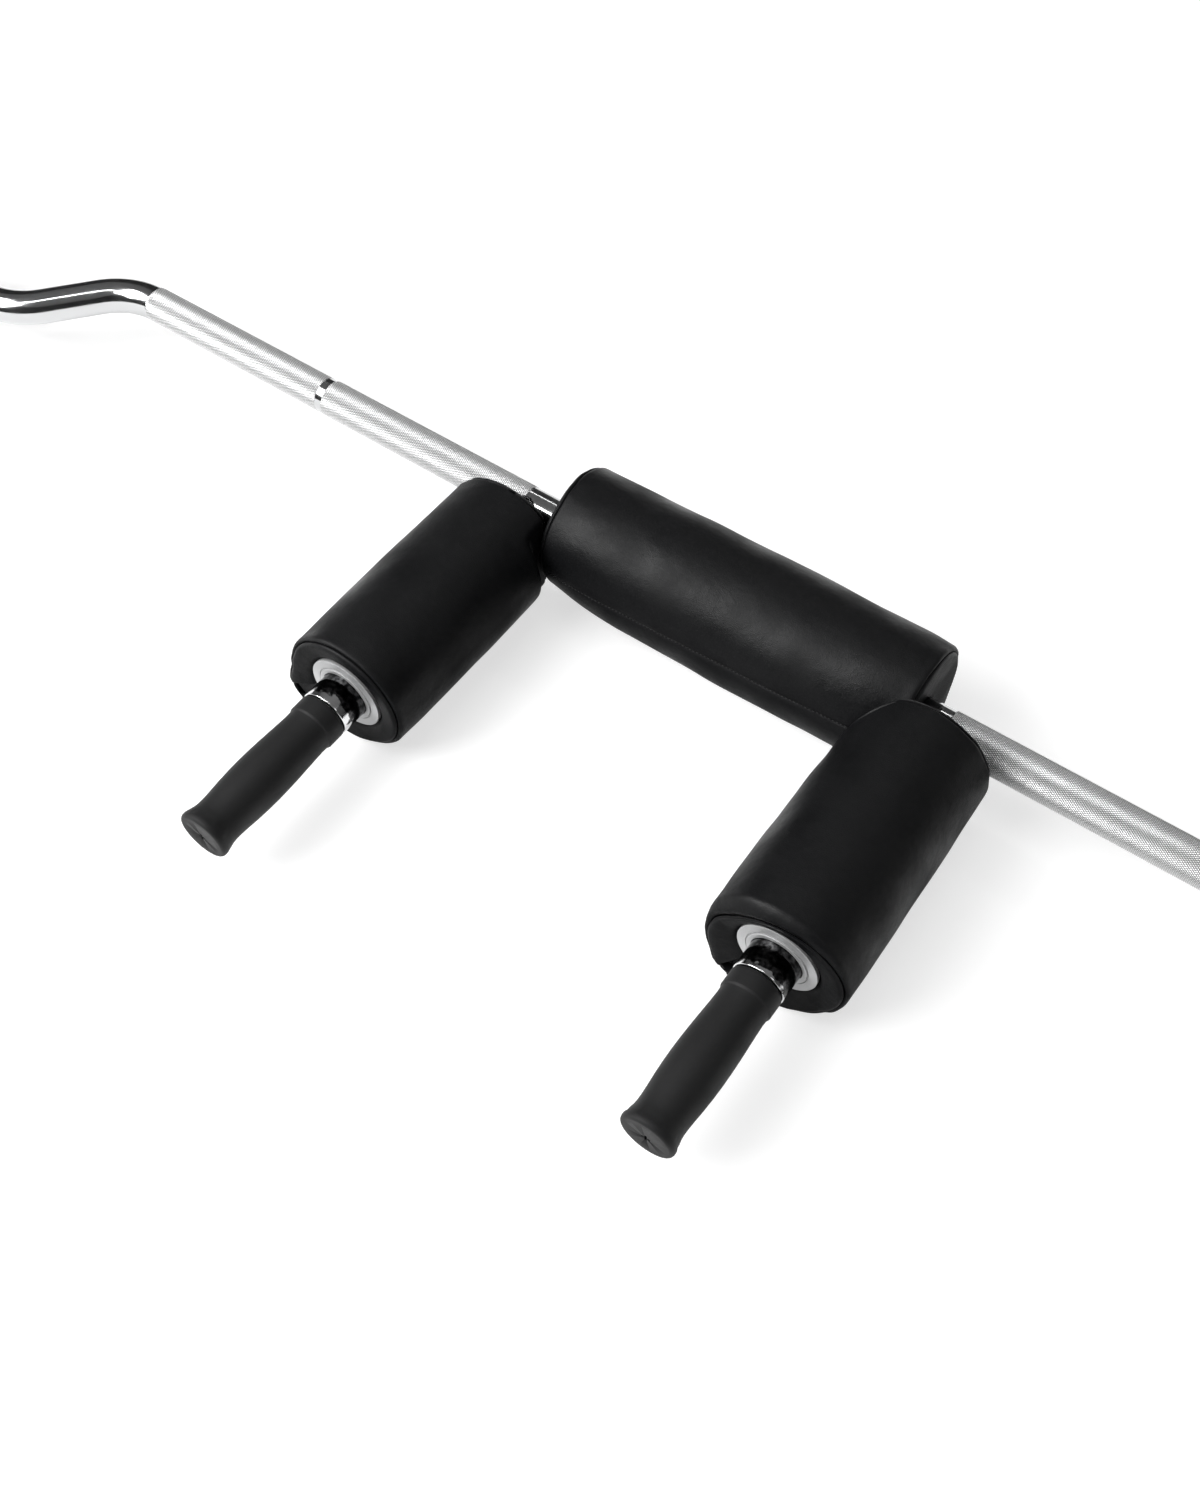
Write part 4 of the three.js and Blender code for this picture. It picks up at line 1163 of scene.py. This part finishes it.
sleeve_chrome = chrome_finish("sleeve_chrome", (0.52, 0.525, 0.53), 0.06, 0.16, 0.015 * mm)
plate_marks = noise_at(sleeve_chrome, 1300, 2, (1, 0.015, 0.015))
set_shader(sleeve_chrome,
           {"Roughness": spread(sleeve_chrome, plate_marks, 0.05, 0.24, 0.45, 0.75)})


def reach_of(node):
    """[inner end, outer end, radius] of a round piece on the sleeves' axis."""
    low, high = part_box(node)
    near, far = sorted((abs(low[0]), abs(high[0])))
    return near, far, (high[2] - low[2]) / 2


def on_spindle(hand, part, node, outline, made, slot, body="bar", **more):
    """A turned part round the axis of a sleeve."""
    turned_piece(hand, part, node, outline, sleeve_axis, (side_of[hand], 0, 0), made, slot,
                 body, **more)


for hand in side_of:
    body = f"{hand}_sleeve"
    near, far, radius = reach_of(f"{hand}_sleeve_tube")
    on_spindle(
        hand, "plate_sleeve", "sleeve_tube",
        [(near, sleeve_bore), (near, radius), (near + 0.4 * (far - near), radius),
         (near + 0.7 * (far - near), radius), (far - 1.5 * mm, radius), (far, radius - 1.5 * mm),
         (far, sleeve_bore)],
        sleeve_chrome, "chrome", body, round_off=0.6 * mm,
    )
    near, far, edge = reach_of(f"{hand}_sleeve_collar")
    on_spindle(
        hand, "plate_collar", "sleeve_collar",
        [(near, radius + 0.2 * mm), (near, edge - 2.5 * mm), (near + 2.5 * mm, edge),
         (far - 2.5 * mm, edge), (far, edge - 2.5 * mm), (far, radius + 0.2 * mm)],
        sleeve_chrome, "chrome", body, round_off=1.6 * mm,
    )
    near, far, flange = reach_of(f"{hand}_end_plug")
    shank = sleeve_bore - 0.3 * mm
    on_spindle(
        hand, "plug", "end_plug",
        [(near, 0), (near, shank), (far - 3 * mm, shank), (far - 3 * mm, flange),
         (far - 1 * mm, flange), (far, flange - 1 * mm), (far, 17 * mm),
         (far - 0.5 * mm, 16 * mm), (far - 0.5 * mm, 3.4 * mm), (far - 1.5 * mm, 1.2 * mm),
         (far - 1.5 * mm, 0)],
        mirror_chrome, "chrome", body, round_off=0.5 * mm,
    )

# Two oiled bronze bushes in each sleeve run on the spindle; the inner one has a flange that takes
# the thrust against the shaft's shoulder.
running_bore, bush_radius, flange_width = 12.8 * mm, 20.7 * mm, 3 * mm

oiled_bronze = finish("oiled_bronze", (0.44, 0.27, 0.12), 0.34, 1)
mottle(oiled_bronze, 160, 4, (0.34, 0.20, 0.085), (0.50, 0.32, 0.15))
gloss(oiled_bronze, 90, 0.27, 0.42)
grain(oiled_bronze, 2400, 2, 0.02 * mm)


def plain_ring(near, far, radius):
    """The outline of a ring that is bored to run on the spindle."""
    return [(near, running_bore), (near, radius), (far, radius), (far, running_bore)]


for hand in side_of:
    near, far, flange = reach_of(f"{hand}_inner_bush")
    on_spindle(
        hand, "flanged_bush", "inner_bush",
        [(near, running_bore), (near, flange), (near + flange_width, flange),
         (near + flange_width, bush_radius), (far, bush_radius), (far, running_bore)],
        oiled_bronze, "bronze", f"{hand}_sleeve", sides=96, round_off=0.5 * mm,
    )
    outline = plain_ring(*reach_of(f"{hand}_outer_bush"))
    on_spindle(hand, "plain_bush", "outer_bush", outline, oiled_bronze, "bronze",
               f"{hand}_sleeve", sides=96, round_off=0.8 * mm)

# A steel washer and a spring-steel snap ring in the spindle's groove keep each sleeve on.
ring_inner, ring_steps, opening, lug_height = 11.4 * mm, 64, radians(40), 1.1 * mm

spring_black = finish("phosphated_spring_steel", (0.03, 0.03, 0.033), 0.5, 0.6)
gloss(spring_black, 400, 0.42, 0.62)
grain(spring_black, 1800, 2, 0.015 * mm)

for hand, side in side_of.items():
    outline = plain_ring(*reach_of(f"{hand}_thrust_washer"))
    on_spindle(hand, "washer", "thrust_washer", outline, turned_steel, "turned_steel",
               sides=96, round_off=0.35 * mm)
    near, far, radius = reach_of(f"{hand}_snap_ring")
    points = []
    for i in range(ring_steps + 1):
        angle = opening / 2 + (2 * pi - opening) * i / ring_steps
        lug = lug_height * max(0, 1 - min(i, ring_steps - i) / 4)
        inner = ring_inner - 0.3 * lug
        section = softened([(inner, near), (inner, far), (radius, far), (radius, near)],
                           0.35 * mm, 2)
        for reach, place in section:
            points.append((side * place, -forward_offset + reach * sin(angle),
                           axis_height + reach * cos(angle)))
    faces = ring_faces(ring_steps + 1, len(section)) + end_faces(ring_steps + 1, len(section))
    add_piece(f"{hand}_retaining_ring", points, faces, [spring_black],
              [f"{hand}_snap_ring"], 40)
